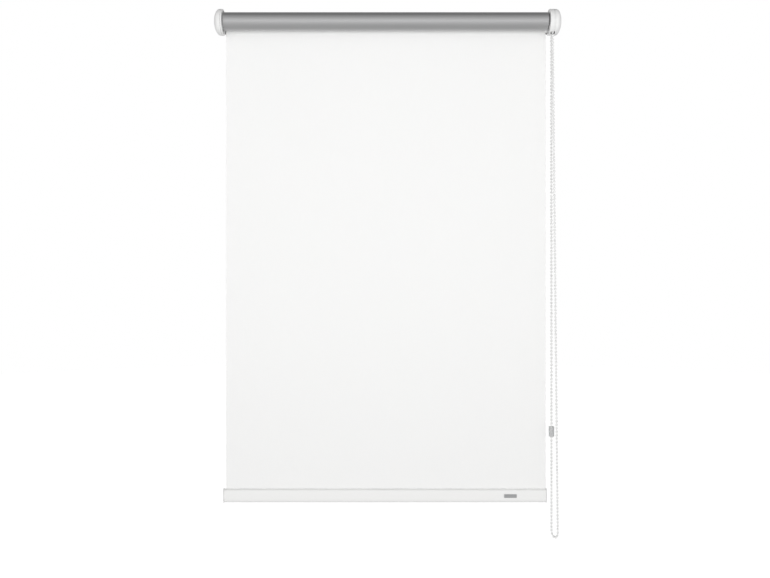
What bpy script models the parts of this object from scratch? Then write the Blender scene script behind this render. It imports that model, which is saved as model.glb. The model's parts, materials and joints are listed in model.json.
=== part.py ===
"""Side-chain roller blind on two wall brackets, stored with its fabric fully lowered.

Frame: metres, +Z up, +X along the roller towards the chain, the wall behind at Y = 0 and the room at -Y.
The origin is on the wall, midway between the brackets and level with the roller's axis. A side is -1 for the
idle end and +1 for the chain end, and "out" is the distance from the fabric's edge outwards, away from X = 0.
"""

import math

import bmesh
import bpy
from mathutils import Matrix, Vector

# ---- Driving dimensions, in metres ----
GAP = 0.0003                # left between pieces that touch

FABRIC_WIDTH = 0.560
FABRIC_THICKNESS = 0.00035
RAIL_TOP = 0.8137           # from the roller's axis down to the bottom rail's top edge
COVER_OFF_WALL = 0.0048     # clear space between the wall and the covers

TUBE_RADIUS = 0.0140
TUBE_WALL = 0.0010
ROLL_WALL = 0.0011          # fabric turns that stay on the tube
GROOVE_WIDTH = 0.0040       # groove along the tube that holds the fabric's edge
GROOVE_DEPTH = 0.0018

COVER_RADIUS = 0.0222
COVER_WALL = 0.0014
COVER_BAND = 0.0006         # straight band at the cover's rim
COVER_DROP = 0.0020         # the covers' centre sits this far below the roller's axis
IDLE_COVER_DEPTH = 0.0112
CHAIN_COVER_DEPTH = 0.0101

PLATE_THICKNESS = 0.0015    # bracket steel
PLATE_INSET = 0.0016        # the plate's edge lies this far inside the covers'
FLANGE_HEIGHT = 0.0250
FLANGE_WIDTH = 0.0180       # turned inwards, flat on the wall
SCREW_HOLE_RADIUS = 0.0022
SCREW_SPACING = 0.0140

SOCKET_OUT = 0.0013         # from the fabric's edge to the idle socket's inner face
SOCKET_THICKNESS = 0.0023
BUSH_WALL = 0.0022
BUSH_FLANGE_RIM = 0.0022
BUSH_FLANGE = 0.0004
BUSH_REACH = 0.0050         # past the bracket plate, inside the cover

PIN_RADIUS = 0.0025
PIN_COLLAR_RIM = 0.0016
PIN_COLLAR = 0.0015
PIN_REACH = 0.0103          # from the fabric's edge outwards
PIN_TRAVEL = 0.0095
PIN_SPRING_LENGTH = 0.0175
PIN_SPRING_WIRE = 0.0003    # radius
PIN_SPRING_TURNS = 6
PLUG_LENGTH = 0.0400
PLUG_GUIDE = 0.0045         # length of the pin's guide in the plug's head
HEAD_THICKNESS = 0.0006     # flanges of the plug and of the drive hub
HEAD_RIM = 0.0006           # the heads stand proud of the tube by this much
SEAT_THICKNESS = 0.0020

HOUSING_OUT = 0.0018        # from the fabric's edge to the chain housing's inner face
HOUSING_DEPTH = 0.0090
HOUSING_WALL = 0.0014
CHAIN_SLOT = 0.0078
CHAIN_SLOT_OUT = 0.0069     # from the roller's axis to the middle of each slot the chain leaves by

BEAD_RADIUS = 0.00225
BEAD_PITCH = 0.0060
WHEEL_POCKETS = 15
WHEEL_SPACE = 0.0016        # between the wheel and the housing's floor
WHEEL_FLANGE_RADIUS = 0.0149
WHEEL_FLANGE = 0.0004
POCKET_DEPTH = 0.0008
WHEEL_SLEEVE_LENGTH = 0.0180  # from the fabric's edge into the tube
SLEEVE_WALL = 0.0012
CLUTCH_PLAY = 0.0007        # round the wheel's sleeve, inside and outside
TANG_WINDOW = 0.0120        # width of the window in the sleeve that the spring tangs stand in

CORE_HEAD_RIM = 0.0035
CORE_HEAD = 0.0018
CORE_LENGTH = 0.0320        # from the fabric's edge into the tube
HUB_LENGTH = 0.0300
HUB_BEARING = 0.0060
HUB_WALL = 0.0028
HUB_TAB = 0.0024            # width of the tab between the spring tangs
RETAINER_RIM = 0.0025
RETAINER_THICKNESS = 0.0015
SCREW_HEAD_RADIUS = 0.0030
SCREW_RADIUS = 0.0014
SCREW_LENGTH = 0.0090
WRAP_WIRE = 0.0005          # radius
WRAP_TURNS = 4
WRAP_PITCH = 0.00125
RIVET_RADIUS = 0.0011
RIVET_HEAD_RADIUS = 0.0019
RIVET_HEAD = 0.0006

GUIDE_PLAY = 0.0004         # between the chain and the arc that keeps it on the wheel
GUIDE_START = math.radians(10)

EXIT_OUT = 0.0060           # from the roller's axis to each strand where it hangs free
EXIT_DROP = 0.0240
EXIT_BEND = 0.0120          # the strands lean in off the wheel and bend down this gently

LOOP_BOTTOM = 0.8937        # from the roller's axis down to the chain's centreline at its lowest
LOOP_SHIFT = 0.00455        # the loop hangs this much further out than the wheel
LOOP_RADIUS = 0.00886
LOOP_TURN = math.radians(25)  # the loop's lowest bend is turned this much about the vertical

CONNECTOR_DROP = 0.7118     # from the roller's axis to the connector's middle
CONNECTOR_HEIGHT = 0.0175
CONNECTOR_WIDTH = 0.0090
CONNECTOR_DEPTH = 0.0070
CONNECTOR_ROUND = 0.0016

RAIL_HEIGHT = 0.0236
RAIL_DEPTH = 0.0090
RAIL_OVERHANG = 0.0028      # past the fabric's edges, over the end caps
RAIL_SHIFT = -0.0015
RAIL_EDGE = 0.0010          # rounding of the upper edges
RAIL_CAP = 0.0010
RAIL_CAP_RIM = 0.0005       # the caps stand proud of the rail by this much
RAIL_CAP_DROP = 0.0010      # and hang further below it
RAIL_SLOT = 0.0011
KEDER_RADIUS = 0.0017
KEDER_DEPTH = 0.0050        # from the rail's top to the keder's centre
RAIL_WALL = 0.0016
RAIL_HOLLOW_HEIGHT = 0.0090
RAIL_HOLLOW_DEPTH = 0.0142  # from the rail's top to the hollow's middle
TONGUE_LENGTH = 0.0120

BADGE_SIZE = (0.0220, 0.0005, 0.0060)
BADGE_INSET = 0.0638        # from the rail's end on the chain side to the plate's middle
BADGE_DEPTH = 0.0117        # from the rail's top to the plate's middle

ROUND = 32                  # sides of the large turned pieces
SMALL_ROUND = 20
IDLE, CHAIN = -1, 1

# ---- Sizes that follow ----
HALF = FABRIC_WIDTH / 2
AXIS_OUT = COVER_RADIUS + COVER_OFF_WALL  # from the wall to the roller's axis
AXIS = Vector((0, -AXIS_OUT, 0))
COVER_AXIS = AXIS - Vector((0, 0, COVER_DROP))
TUBE_BORE = TUBE_RADIUS - TUBE_WALL
ROLL_RADIUS = TUBE_RADIUS + GAP + ROLL_WALL
HEAD_RADIUS = TUBE_RADIUS + HEAD_RIM
PLATE_RADIUS = COVER_RADIUS - PLATE_INSET
BUSH_RADIUS = PIN_RADIUS + GAP + BUSH_WALL
PIN_COLLAR_RADIUS = PIN_RADIUS + PIN_COLLAR_RIM
SOCKET_RIVET_CIRCLE = HEAD_RADIUS + RIVET_HEAD_RADIUS
SOCKET_FACE = SOCKET_OUT + SOCKET_THICKNESS
HOUSING_FACE = HOUSING_OUT + HOUSING_DEPTH
PLATE_OUT = {IDLE: SOCKET_FACE + GAP, CHAIN: HOUSING_FACE + GAP}
COVER_OUT = {side: PLATE_OUT[side] + PLATE_THICKNESS + GAP for side in (IDLE, CHAIN)}
WHEEL_INNER = HOUSING_OUT + HOUSING_WALL + WHEEL_SPACE
WHEEL_MIDDLE = (WHEEL_INNER + HOUSING_FACE) / 2
WHEEL_PITCH_RADIUS = BEAD_PITCH / 2 / math.sin(math.pi / WHEEL_POCKETS)
WHEEL_BOTTOM_RADIUS = WHEEL_PITCH_RADIUS - BEAD_RADIUS - GAP
GUIDE_INNER = WHEEL_PITCH_RADIUS + BEAD_RADIUS + GUIDE_PLAY
GUIDE_OUTER = COVER_RADIUS - COVER_DROP - HOUSING_WALL - GAP
HUB_BORE = TUBE_BORE - GAP - HUB_WALL
SLEEVE_RADIUS = HUB_BORE - CLUTCH_PLAY
SLEEVE_BORE = SLEEVE_RADIUS - SLEEVE_WALL
CORE_RADIUS = SLEEVE_BORE - CLUTCH_PLAY - 2 * WRAP_WIRE - GAP
CORE_HEAD_RADIUS = CORE_RADIUS + CORE_HEAD_RIM
CORE_RIVET_CIRCLE = CORE_RADIUS + CORE_HEAD_RIM / 2
HEAD_INNER, HEAD_OUTER = GAP, GAP + HEAD_THICKNESS
FABRIC_Y = -AXIS_OUT + ROLL_RADIUS + GAP + FABRIC_THICKNESS / 2
RAIL_START = RAIL_SHIFT - HALF - RAIL_OVERHANG
RAIL_END = RAIL_SHIFT + HALF + RAIL_OVERHANG


def clear_scene():
    """Remove whatever the scene holds."""
    for item in list(bpy.data.objects):
        bpy.data.objects.remove(item, do_unlink=True)


def finish(name, colour, roughness, metallic=0.0):
    """A Principled material of one plain colour."""
    material = bpy.data.materials.new(name)
    material.use_nodes = True
    shader = material.node_tree.nodes["Principled BSDF"]
    shader.inputs["Base Color"].default_value = (*colour, 1.0)
    shader.inputs["Roughness"].default_value = roughness
    shader.inputs["Metallic"].default_value = metallic
    return material


def add_part(name, shape, material, smooth=True):
    """Turn a bmesh into a named object with its faces pointing out."""
    bmesh.ops.recalc_face_normals(shape, faces=shape.faces)
    mesh = bpy.data.meshes.new(name)
    shape.to_mesh(mesh)
    shape.free()
    if smooth:
        mesh.shade_smooth()
        mesh.set_sharp_from_angle(angle=math.radians(35))
    part = bpy.data.objects.new(name, mesh)
    bpy.context.collection.objects.link(part)
    if material:
        mesh.materials.append(material)
    return part


def combine(part, tool_shape, operation):
    """Cut a hidden tool out of a part, or join it to the part."""
    tool = add_part(f"{part.name}_tool_{len(part.modifiers)}", tool_shape, None, smooth=False)
    tool.hide_render = True
    tool.display_type = "WIRE"
    modifier = part.modifiers.new(operation.title(), "BOOLEAN")
    modifier.operation = operation
    modifier.solver = "EXACT"
    modifier.object = tool


def turned(profile, centre, sides, sweep=2 * math.pi, start=0.0):
    """Turn (x, radius) points about the line along X through a centre.

    A radius may be a function of the angle. Points on the axis close the shape there. Otherwise the profile is
    a closed loop. A sweep under a full turn gets end faces. The angle runs from +Y up towards +Z.
    """
    shape = bmesh.new()
    whole = math.isclose(sweep, 2 * math.pi)
    on_axis = profile[0][1] == 0
    steps = sides if whole else sides + 1
    rings = []
    for step in range(steps):
        angle = start + sweep * step / sides
        ring = []
        for x, radius in profile:
            r = radius(angle) if callable(radius) else radius
            ring.append(shape.verts.new((x, centre.y + r * math.cos(angle), centre.z + r * math.sin(angle))))
        rings.append(ring)
    count = len(profile)
    for step in range(sides):
        here, there = rings[step], rings[(step + 1) % steps]
        for i in range(count - 1 if on_axis else count):
            j = (i + 1) % count
            shape.faces.new((here[i], here[j], there[j], there[i]))
    if not whole:
        shape.faces.new(rings[0])
        shape.faces.new(reversed(rings[-1]))
    bmesh.ops.remove_doubles(shape, verts=shape.verts, dist=1e-7)
    return shape


def rod(x0, x1, radius, centre=AXIS, sides=SMALL_ROUND):
    """A plain round bar along X."""
    return turned([(x0, 0), (x0, radius), (x1, radius), (x1, 0)], centre, sides)


def block(low, high):
    """A box between two corners."""
    shape = bmesh.new()
    bmesh.ops.create_cube(shape, size=1.0)
    size = Vector(high) - Vector(low)
    bmesh.ops.scale(shape, vec=size, verts=shape.verts)
    bmesh.ops.translate(shape, vec=Vector(low) + size / 2, verts=shape.verts)
    return shape


def extruded(outline, start, length):
    """Extrude a flat outline of 3-D points, moved to start, along the vector length."""
    shape = bmesh.new()
    face = shape.faces.new([shape.verts.new(Vector(point) + Vector(start)) for point in outline])
    grown = bmesh.ops.extrude_face_region(shape, geom=[face])
    moved = [item for item in grown["geom"] if isinstance(item, bmesh.types.BMVert)]
    bmesh.ops.translate(shape, vec=Vector(length), verts=moved)
    return shape


def arc(centre, radius, start, end, steps):
    """Points (u, v) along an arc, both ends included, angles in degrees."""
    angles = [math.radians(start + (end - start) * i / steps) for i in range(steps + 1)]
    return [(centre[0] + radius * math.cos(a), centre[1] + radius * math.sin(a)) for a in angles]


def in_yz(points):
    """Stand (y, z) points up as an outline across X."""
    return [(0, y, z) for y, z in points]


def wire(name, points, radius, material, sides_level=1):
    """A round wire or cord through points, as a filled curve."""
    curve = bpy.data.curves.new(name, "CURVE")
    curve.dimensions = "3D"
    curve.bevel_depth = radius
    curve.bevel_resolution = sides_level
    curve.use_fill_caps = True
    spline = curve.splines.new("POLY")
    spline.points.add(len(points) - 1)
    for knot, point in zip(spline.points, points):
        knot.co = (*point, 1.0)
    part = bpy.data.objects.new(name, curve)
    bpy.context.collection.objects.link(part)
    curve.materials.append(material)
    return part


def at(side, out):
    """The X of a place that lies out from the fabric's edge on one side."""
    return side * (HALF + out)


# ---- Both ends ----
def add_bracket(name, side, hole_radius, rivet_circle, material):
    """Steel plate beside the roller, with a flange turned inwards on the wall and two screw holes."""
    half = FLANGE_HEIGHT / 2
    corner = math.degrees(math.asin(half / PLATE_RADIUS))
    outline = arc((COVER_AXIS.y, COVER_AXIS.z), PLATE_RADIUS, corner, 360 - corner, 26)
    outline += [(0, COVER_AXIS.z - half), (0, COVER_AXIS.z + half)]
    outer, inner = at(side, PLATE_OUT[side] + PLATE_THICKNESS), at(side, PLATE_OUT[side])
    bracket = add_part(name, extruded(in_yz(outline), (outer, 0, 0), (inner - outer, 0, 0)), material)
    flange_end = outer - side * FLANGE_WIDTH
    flange = block((min((outer + inner) / 2, flange_end), -PLATE_THICKNESS, COVER_AXIS.z - half),
                   (max((outer + inner) / 2, flange_end), 0, COVER_AXIS.z + half))
    combine(bracket, flange, "UNION")

    reach = sorted((inner - side * GAP, outer + side * GAP))
    combine(bracket, rod(*reach, hole_radius), "DIFFERENCE")
    for z in (-rivet_circle, rivet_circle):
        combine(bracket, rod(*reach, RIVET_RADIUS + GAP, AXIS + Vector((0, 0, z)), 12), "DIFFERENCE")
    middle = (inner + flange_end) / 2
    for z in (-SCREW_SPACING / 2, SCREW_SPACING / 2):
        hole = rod(-PLATE_THICKNESS - GAP, GAP, SCREW_HOLE_RADIUS, Vector((0, 0, 0)), 16)
        bmesh.ops.rotate(hole, verts=hole.verts, matrix=Matrix.Rotation(math.pi / 2, 3, "Z"))
        bmesh.ops.translate(hole, verts=hole.verts, vec=(middle, 0, COVER_AXIS.z + z))
        combine(bracket, hole, "DIFFERENCE")


def add_cover(name, side, depth, material):
    """Domed end cover: an elliptical shell that is open towards the bracket."""
    rim = at(side, COVER_OUT[side])
    steps = 6

    def shell(radius, reach):
        points = [(rim, radius)]
        for i in range(steps + 1):
            angle = math.pi / 2 * i / steps
            away = COVER_BAND + (reach - COVER_BAND) * math.sin(angle)
            points.append((rim + side * away, radius * math.cos(angle) if i < steps else 0))
        return points

    outside = shell(COVER_RADIUS, depth)
    inside = shell(COVER_RADIUS - COVER_WALL, depth - COVER_WALL)
    return add_part(name, turned(outside[::-1] + inside, COVER_AXIS, ROUND), material)


# ---- Idle end ----
def add_idle_end(plastic, steel, zinc, grey):
    """Bracket, socket, bush and cover, and the spring-loaded pin in the tube's plug."""
    bracket_hole = BUSH_RADIUS + GAP
    add_bracket("bracket_left", IDLE, bracket_hole, SOCKET_RIVET_CIRCLE, zinc)
    add_cover("cover_left", IDLE, IDLE_COVER_DEPTH, plastic)

    inner, outer = at(IDLE, SOCKET_OUT), at(IDLE, SOCKET_FACE)
    edge = 0.0004
    profile = [(inner, 0), (inner, COVER_RADIUS - edge), (inner - edge, COVER_RADIUS), (outer + edge, COVER_RADIUS),
               (outer, COVER_RADIUS - edge), (outer, 0)]
    seat = inner - BUSH_FLANGE - 2 * GAP
    rim = BUSH_RADIUS + BUSH_FLANGE_RIM
    socket = add_part("idle_socket", turned(profile, COVER_AXIS, ROUND), plastic)
    stepped = [(outer - GAP, 0), (outer - GAP, bracket_hole), (seat, bracket_hole), (seat, rim + GAP),
               (inner + GAP, rim + GAP), (inner + GAP, 0)]
    combine(socket, turned(stepped, AXIS, SMALL_ROUND), "DIFFERENCE")
    for z in (-SOCKET_RIVET_CIRCLE, SOCKET_RIVET_CIRCLE):
        hole = rod(outer - GAP, inner + GAP, RIVET_RADIUS + GAP, AXIS + Vector((0, 0, z)), 12)
        combine(socket, hole, "DIFFERENCE")

    bush_end = at(IDLE, COVER_OUT[IDLE] + BUSH_REACH)
    bore = PIN_RADIUS + GAP
    face = seat + GAP
    bush = [(bush_end, bore), (bush_end, BUSH_RADIUS), (face, BUSH_RADIUS), (face, rim),
            (face + BUSH_FLANGE, rim), (face + BUSH_FLANGE, bore)]
    add_part("idle_bush", turned(bush, AXIS, SMALL_ROUND), grey)

    plate_face = at(IDLE, PLATE_OUT[IDLE] + PLATE_THICKNESS) - GAP
    socket_face = inner + GAP
    for name, z in (("socket_rivet_lower", -SOCKET_RIVET_CIRCLE), ("socket_rivet_upper", SOCKET_RIVET_CIRCLE)):
        rivet = [(plate_face - RIVET_HEAD, 0), (plate_face - RIVET_HEAD, RIVET_HEAD_RADIUS),
                 (plate_face, RIVET_HEAD_RADIUS), (plate_face, RIVET_RADIUS), (socket_face, RIVET_RADIUS),
                 (socket_face, RIVET_HEAD_RADIUS), (socket_face + RIVET_HEAD, RIVET_HEAD_RADIUS),
                 (socket_face + RIVET_HEAD, 0)]
        add_part(name, turned(rivet, AXIS + Vector((0, 0, z)), 12), steel)

    head, body = at(IDLE, HEAD_OUTER), at(IDLE, HEAD_INNER)
    end = at(IDLE, -PLUG_LENGTH)
    chamber_start = head + PLUG_GUIDE
    chamber = PIN_COLLAR_RADIUS + 2 * GAP
    plug = [(head, bore), (head, HEAD_RADIUS), (body, HEAD_RADIUS), (body, TUBE_BORE - GAP), (end, TUBE_BORE - GAP),
            (end, chamber), (chamber_start, chamber), (chamber_start, bore)]
    part = add_part("idle_plug", turned(plug, AXIS, ROUND), grey)
    combine(part, key_slot(body + GAP / 2, end + GAP), "DIFFERENCE")

    collar = chamber_start + GAP
    spring_start = collar + PIN_COLLAR + GAP
    spring_end = spring_start + PIN_SPRING_LENGTH
    seat_start = spring_end + PIN_SPRING_WIRE + GAP
    pin_end = seat_start + SEAT_THICKNESS
    pin_tip = at(IDLE, PIN_REACH)
    taper = PIN_RADIUS / 3
    pin = [(pin_tip, 0), (pin_tip, PIN_RADIUS - taper), (pin_tip + taper, PIN_RADIUS), (collar, PIN_RADIUS),
           (collar, PIN_COLLAR_RADIUS), (collar + PIN_COLLAR, PIN_COLLAR_RADIUS), (collar + PIN_COLLAR, PIN_RADIUS),
           (pin_end, PIN_RADIUS), (pin_end, 0)]
    add_part("idle_pin", turned(pin, AXIS, SMALL_ROUND), steel)
    seat = [(seat_start, bore), (seat_start, chamber - GAP), (pin_end, chamber - GAP), (pin_end, bore)]
    add_part("spring_seat", turned(seat, AXIS, SMALL_ROUND), steel)
    coil = helix(spring_start + PIN_SPRING_WIRE, spring_end, PIN_COLLAR_RADIUS - 2 * PIN_SPRING_WIRE,
                 PIN_SPRING_TURNS, 10)
    wire("idle_spring", coil, PIN_SPRING_WIRE, steel)


def helix(x0, x1, radius, turns, steps, start=0.0):
    """Points of a coil about the roller's axis."""
    total = round(turns * steps)
    points = []
    for i in range(total + 1):
        angle = start + 2 * math.pi * turns * i / total
        x = x0 + (x1 - x0) * i / total
        points.append((x, AXIS.y + radius * math.cos(angle), AXIS.z + radius * math.sin(angle)))
    return points


def key_slot(x0, x1):
    """Tool that cuts the slot for the tube's groove along the underside of a plug or hub."""
    half = GROOVE_WIDTH / 2 + TUBE_WALL + GAP
    depth = TUBE_RADIUS - GROOVE_DEPTH - TUBE_WALL - GAP
    low, high = min(x0, x1), max(x0, x1)
    return block((low, AXIS.y - half, -TUBE_RADIUS), (high, AXIS.y + half, -depth))


# ---- Chain end ----
def pocket_radius(angle):
    """Bottom of the wheel's groove: a shallow pocket for each bead."""
    wave = 0.5 - 0.5 * math.cos(WHEEL_POCKETS * angle)
    return WHEEL_BOTTOM_RADIUS - POCKET_DEPTH * wave


def add_chain_end(plastic, steel, zinc, grey, dark):
    """Bracket, cover, chain housing, wheel, core, wrap springs and drive hub."""
    plate_hole = CORE_RADIUS + GAP
    add_bracket("bracket_right", CHAIN, plate_hole, CORE_RIVET_CIRCLE, zinc)
    add_cover("cover_right", CHAIN, CHAIN_COVER_DEPTH, plastic)

    inner, outer = at(CHAIN, HOUSING_OUT), at(CHAIN, HOUSING_FACE)
    wall = inner + HOUSING_WALL
    edge = 0.0005
    profile = [(inner, 0), (inner, COVER_RADIUS - edge), (inner + edge, COVER_RADIUS), (outer, COVER_RADIUS),
               (outer, COVER_RADIUS - HOUSING_WALL), (wall, COVER_RADIUS - HOUSING_WALL), (wall, 0)]
    housing = add_part("chain_housing", turned(profile, COVER_AXIS, ROUND), plastic)
    combine(housing, rod(inner - GAP, wall + GAP, SLEEVE_RADIUS + GAP), "DIFFERENCE")
    for side in (-1, 1):
        y = AXIS.y + side * CHAIN_SLOT_OUT
        slot = block((wall + GAP, y - CHAIN_SLOT / 2, -1.5 * COVER_RADIUS),
                     (outer + GAP, y + CHAIN_SLOT / 2, -COVER_RADIUS / 3))
        combine(housing, slot, "DIFFERENCE")

    guide = [(wall + GAP, GUIDE_INNER), (wall + GAP, GUIDE_OUTER), (outer, GUIDE_OUTER), (outer, GUIDE_INNER)]
    add_part("chain_guide", turned(guide, AXIS, 18, math.pi - 2 * GUIDE_START, GUIDE_START), grey)

    head_face = at(CHAIN, COVER_OUT[CHAIN])
    core_end = at(CHAIN, -CORE_LENGTH)
    pilot = SCREW_RADIUS + GAP
    pilot_end = core_end + SCREW_LENGTH
    core = [(core_end, pilot), (core_end, CORE_RADIUS), (head_face, CORE_RADIUS), (head_face, CORE_HEAD_RADIUS),
            (head_face + CORE_HEAD, CORE_HEAD_RADIUS), (head_face + CORE_HEAD, 0), (pilot_end, 0), (pilot_end, pilot)]
    part = add_part("clutch_core", closed_core(core), grey)
    rivet_start = at(CHAIN, PLATE_OUT[CHAIN]) + GAP
    rivet_top = head_face + CORE_HEAD + GAP
    rivet = [(rivet_start, 0), (rivet_start, RIVET_RADIUS), (rivet_top, RIVET_RADIUS), (rivet_top, RIVET_HEAD_RADIUS),
             (rivet_top + RIVET_HEAD, RIVET_HEAD_RADIUS), (rivet_top + RIVET_HEAD, 0)]
    for name, z in (("core_rivet_lower", -CORE_RIVET_CIRCLE), ("core_rivet_upper", CORE_RIVET_CIRCLE)):
        centre = AXIS + Vector((0, 0, z))
        hole = rod(head_face - GAP, head_face + CORE_HEAD + GAP, RIVET_RADIUS + GAP, centre, 12)
        combine(part, hole, "DIFFERENCE")
        add_part(name, turned(rivet, centre, 12), steel)

    wheel_in, sleeve_end = at(CHAIN, WHEEL_INNER), at(CHAIN, -WHEEL_SLEEVE_LENGTH)
    bore = CORE_RADIUS + GAP
    collar = at(CHAIN, HEAD_INNER)
    wheel = [(outer, bore), (outer, WHEEL_FLANGE_RADIUS), (outer - WHEEL_FLANGE, WHEEL_FLANGE_RADIUS),
             (outer - WHEEL_FLANGE, pocket_radius), (wheel_in + WHEEL_FLANGE, pocket_radius),
             (wheel_in + WHEEL_FLANGE, WHEEL_FLANGE_RADIUS), (wheel_in, WHEEL_FLANGE_RADIUS),
             (wheel_in, SLEEVE_RADIUS), (sleeve_end, SLEEVE_RADIUS), (sleeve_end, SLEEVE_BORE), (collar, SLEEVE_BORE),
             (collar, bore)]
    part = add_part("chain_wheel", turned(wheel, AXIS, 4 * WHEEL_POCKETS), plastic)
    window_end = collar - SLEEVE_WALL
    window = block((sleeve_end - GAP, AXIS.y - TANG_WINDOW / 2, CORE_RADIUS / 2),
                   (window_end, AXIS.y + TANG_WINDOW / 2, 1.5 * SLEEVE_RADIUS))
    combine(part, window, "DIFFERENCE")

    hub_face, hub_seat, hub_end = at(CHAIN, HEAD_OUTER), at(CHAIN, HEAD_INNER), at(CHAIN, -HUB_LENGTH)
    hub = [(hub_face, HUB_BORE), (hub_face, HEAD_RADIUS), (hub_seat, HEAD_RADIUS), (hub_seat, TUBE_BORE - GAP),
           (hub_end, TUBE_BORE - GAP), (hub_end, bore), (hub_end + HUB_BEARING, bore),
           (hub_end + HUB_BEARING, HUB_BORE)]
    part = add_part("drive_hub", turned(hub, AXIS, ROUND), dark)
    combine(part, key_slot(hub_seat - GAP / 2, hub_end - GAP), "DIFFERENCE")
    tab = block((sleeve_end, AXIS.y - HUB_TAB / 2, SLEEVE_BORE),
                (window_end - GAP, AXIS.y + HUB_TAB / 2, HUB_BORE + GAP))
    combine(part, tab, "UNION")

    retainer_face = core_end - GAP
    retainer_back, rim = retainer_face - RETAINER_THICKNESS, CORE_RADIUS + RETAINER_RIM
    retainer = [(retainer_face, pilot), (retainer_face, rim), (retainer_back, rim), (retainer_back, pilot)]
    add_part("hub_retainer", turned(retainer, AXIS, SMALL_ROUND), zinc)
    under_head = retainer_back - GAP
    screw_head = 2 * RIVET_HEAD
    screw = [(under_head - screw_head, 0), (under_head - screw_head, SCREW_HEAD_RADIUS),
             (under_head, SCREW_HEAD_RADIUS), (under_head, SCREW_RADIUS), (pilot_end - GAP, SCREW_RADIUS),
             (pilot_end - GAP, 0)]
    add_part("hub_screw", turned(screw, AXIS, 16), steel)

    mean = CORE_RADIUS + GAP + WRAP_WIRE
    length = WRAP_TURNS * WRAP_PITCH
    room = (collar - sleeve_end - 2 * length) / 3
    tang = SLEEVE_RADIUS - WRAP_WIRE
    lean = math.radians(30)
    for name, start in (("wrap_spring_inner", sleeve_end + room), ("wrap_spring_outer", sleeve_end + 2 * room + length)):
        coil = helix(start, start + length, mean, WRAP_TURNS - lean / math.pi, 12, math.pi / 2 + lean)
        first, last = Vector(coil[0]), Vector(coil[-1])
        ends = [AXIS + Vector((0, math.cos(a), math.sin(a))) * tang for a in (math.pi / 2 + lean, math.pi / 2 - lean)]
        points = [(first.x, ends[0].y, ends[0].z), *coil, (last.x, ends[1].y, ends[1].z)]
        wire(name, points, WRAP_WIRE, steel)


def closed_core(profile):
    """Turn the core's profile, whose two points on the axis close its screw hole and its head."""
    split = next(i for i, point in enumerate(profile) if point[1] == 0)
    return turned(profile[split + 1:] + profile[:split + 1], AXIS, SMALL_ROUND)


# ---- Roller ----
def add_roller(aluminium, silver, white, grey):
    """Grooved tube, the strip in its groove, the turns of fabric on it and the fabric that hangs."""
    half_slot = math.degrees(math.asin(GROOVE_WIDTH / 2 / TUBE_RADIUS))
    outside = arc((AXIS.y, 0), TUBE_RADIUS, -90 + half_slot, 270 - half_slot, 40)
    floor = -TUBE_RADIUS + GROOVE_DEPTH
    outside += [(AXIS.y - GROOVE_WIDTH / 2, floor), (AXIS.y + GROOVE_WIDTH / 2, floor)]
    half_rib = GROOVE_WIDTH / 2 + TUBE_WALL
    rib = math.degrees(math.asin(half_rib / TUBE_BORE))
    inside = arc((AXIS.y, 0), TUBE_BORE, -90 + rib, 270 - rib, 40)
    inside += [(AXIS.y - half_rib, floor + TUBE_WALL), (AXIS.y + half_rib, floor + TUBE_WALL)]
    shape = bmesh.new()
    loops = []
    for x in (-HALF, HALF):
        for outline in (outside, inside):
            loops.append([shape.verts.new((x, y, z)) for y, z in outline])
    for a, b in ((0, 2), (1, 3), (0, 1), (2, 3)):
        for i in range(len(outside)):
            j = (i + 1) % len(outside)
            shape.faces.new((loops[a][i], loops[a][j], loops[b][j], loops[b][i]))
    add_part("roller_tube", shape, aluminium)

    strip_half = GROOVE_WIDTH / 2 - GAP
    strip = block((-HALF + GAP, AXIS.y - strip_half, -TUBE_RADIUS + GAP),
                  (HALF - GAP, AXIS.y + strip_half, floor - GAP))
    add_part("tube_spline", strip, grey, smooth=False)

    ring = [(-HALF, TUBE_RADIUS + GAP), (-HALF, ROLL_RADIUS), (HALF, ROLL_RADIUS), (HALF, TUBE_RADIUS + GAP)]
    add_part("fabric_roll", turned(ring, AXIS, 48), silver)

    low = -RAIL_TOP - KEDER_DEPTH + KEDER_RADIUS + GAP
    drop = block((-HALF, FABRIC_Y - FABRIC_THICKNESS / 2, low), (HALF, FABRIC_Y + FABRIC_THICKNESS / 2, 0))
    add_part("fabric_drop", drop, white, smooth=False)


# ---- Bottom rail ----
def rail_outline(rim=0.0, drop=0.0):
    """The rail's section across X: flat faces, a half-round lower edge and eased upper edges."""
    half, top = RAIL_DEPTH / 2 + rim, -RAIL_TOP + rim
    bottom = -RAIL_TOP - RAIL_HEIGHT - drop
    points = arc((FABRIC_Y, bottom + half), half, 180, 360, 12)
    points += arc((FABRIC_Y + half - RAIL_EDGE, top - RAIL_EDGE), RAIL_EDGE, 0, 90, 3)
    points += arc((FABRIC_Y - half + RAIL_EDGE, top - RAIL_EDGE), RAIL_EDGE, 90, 180, 3)
    return in_yz(points)


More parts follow.
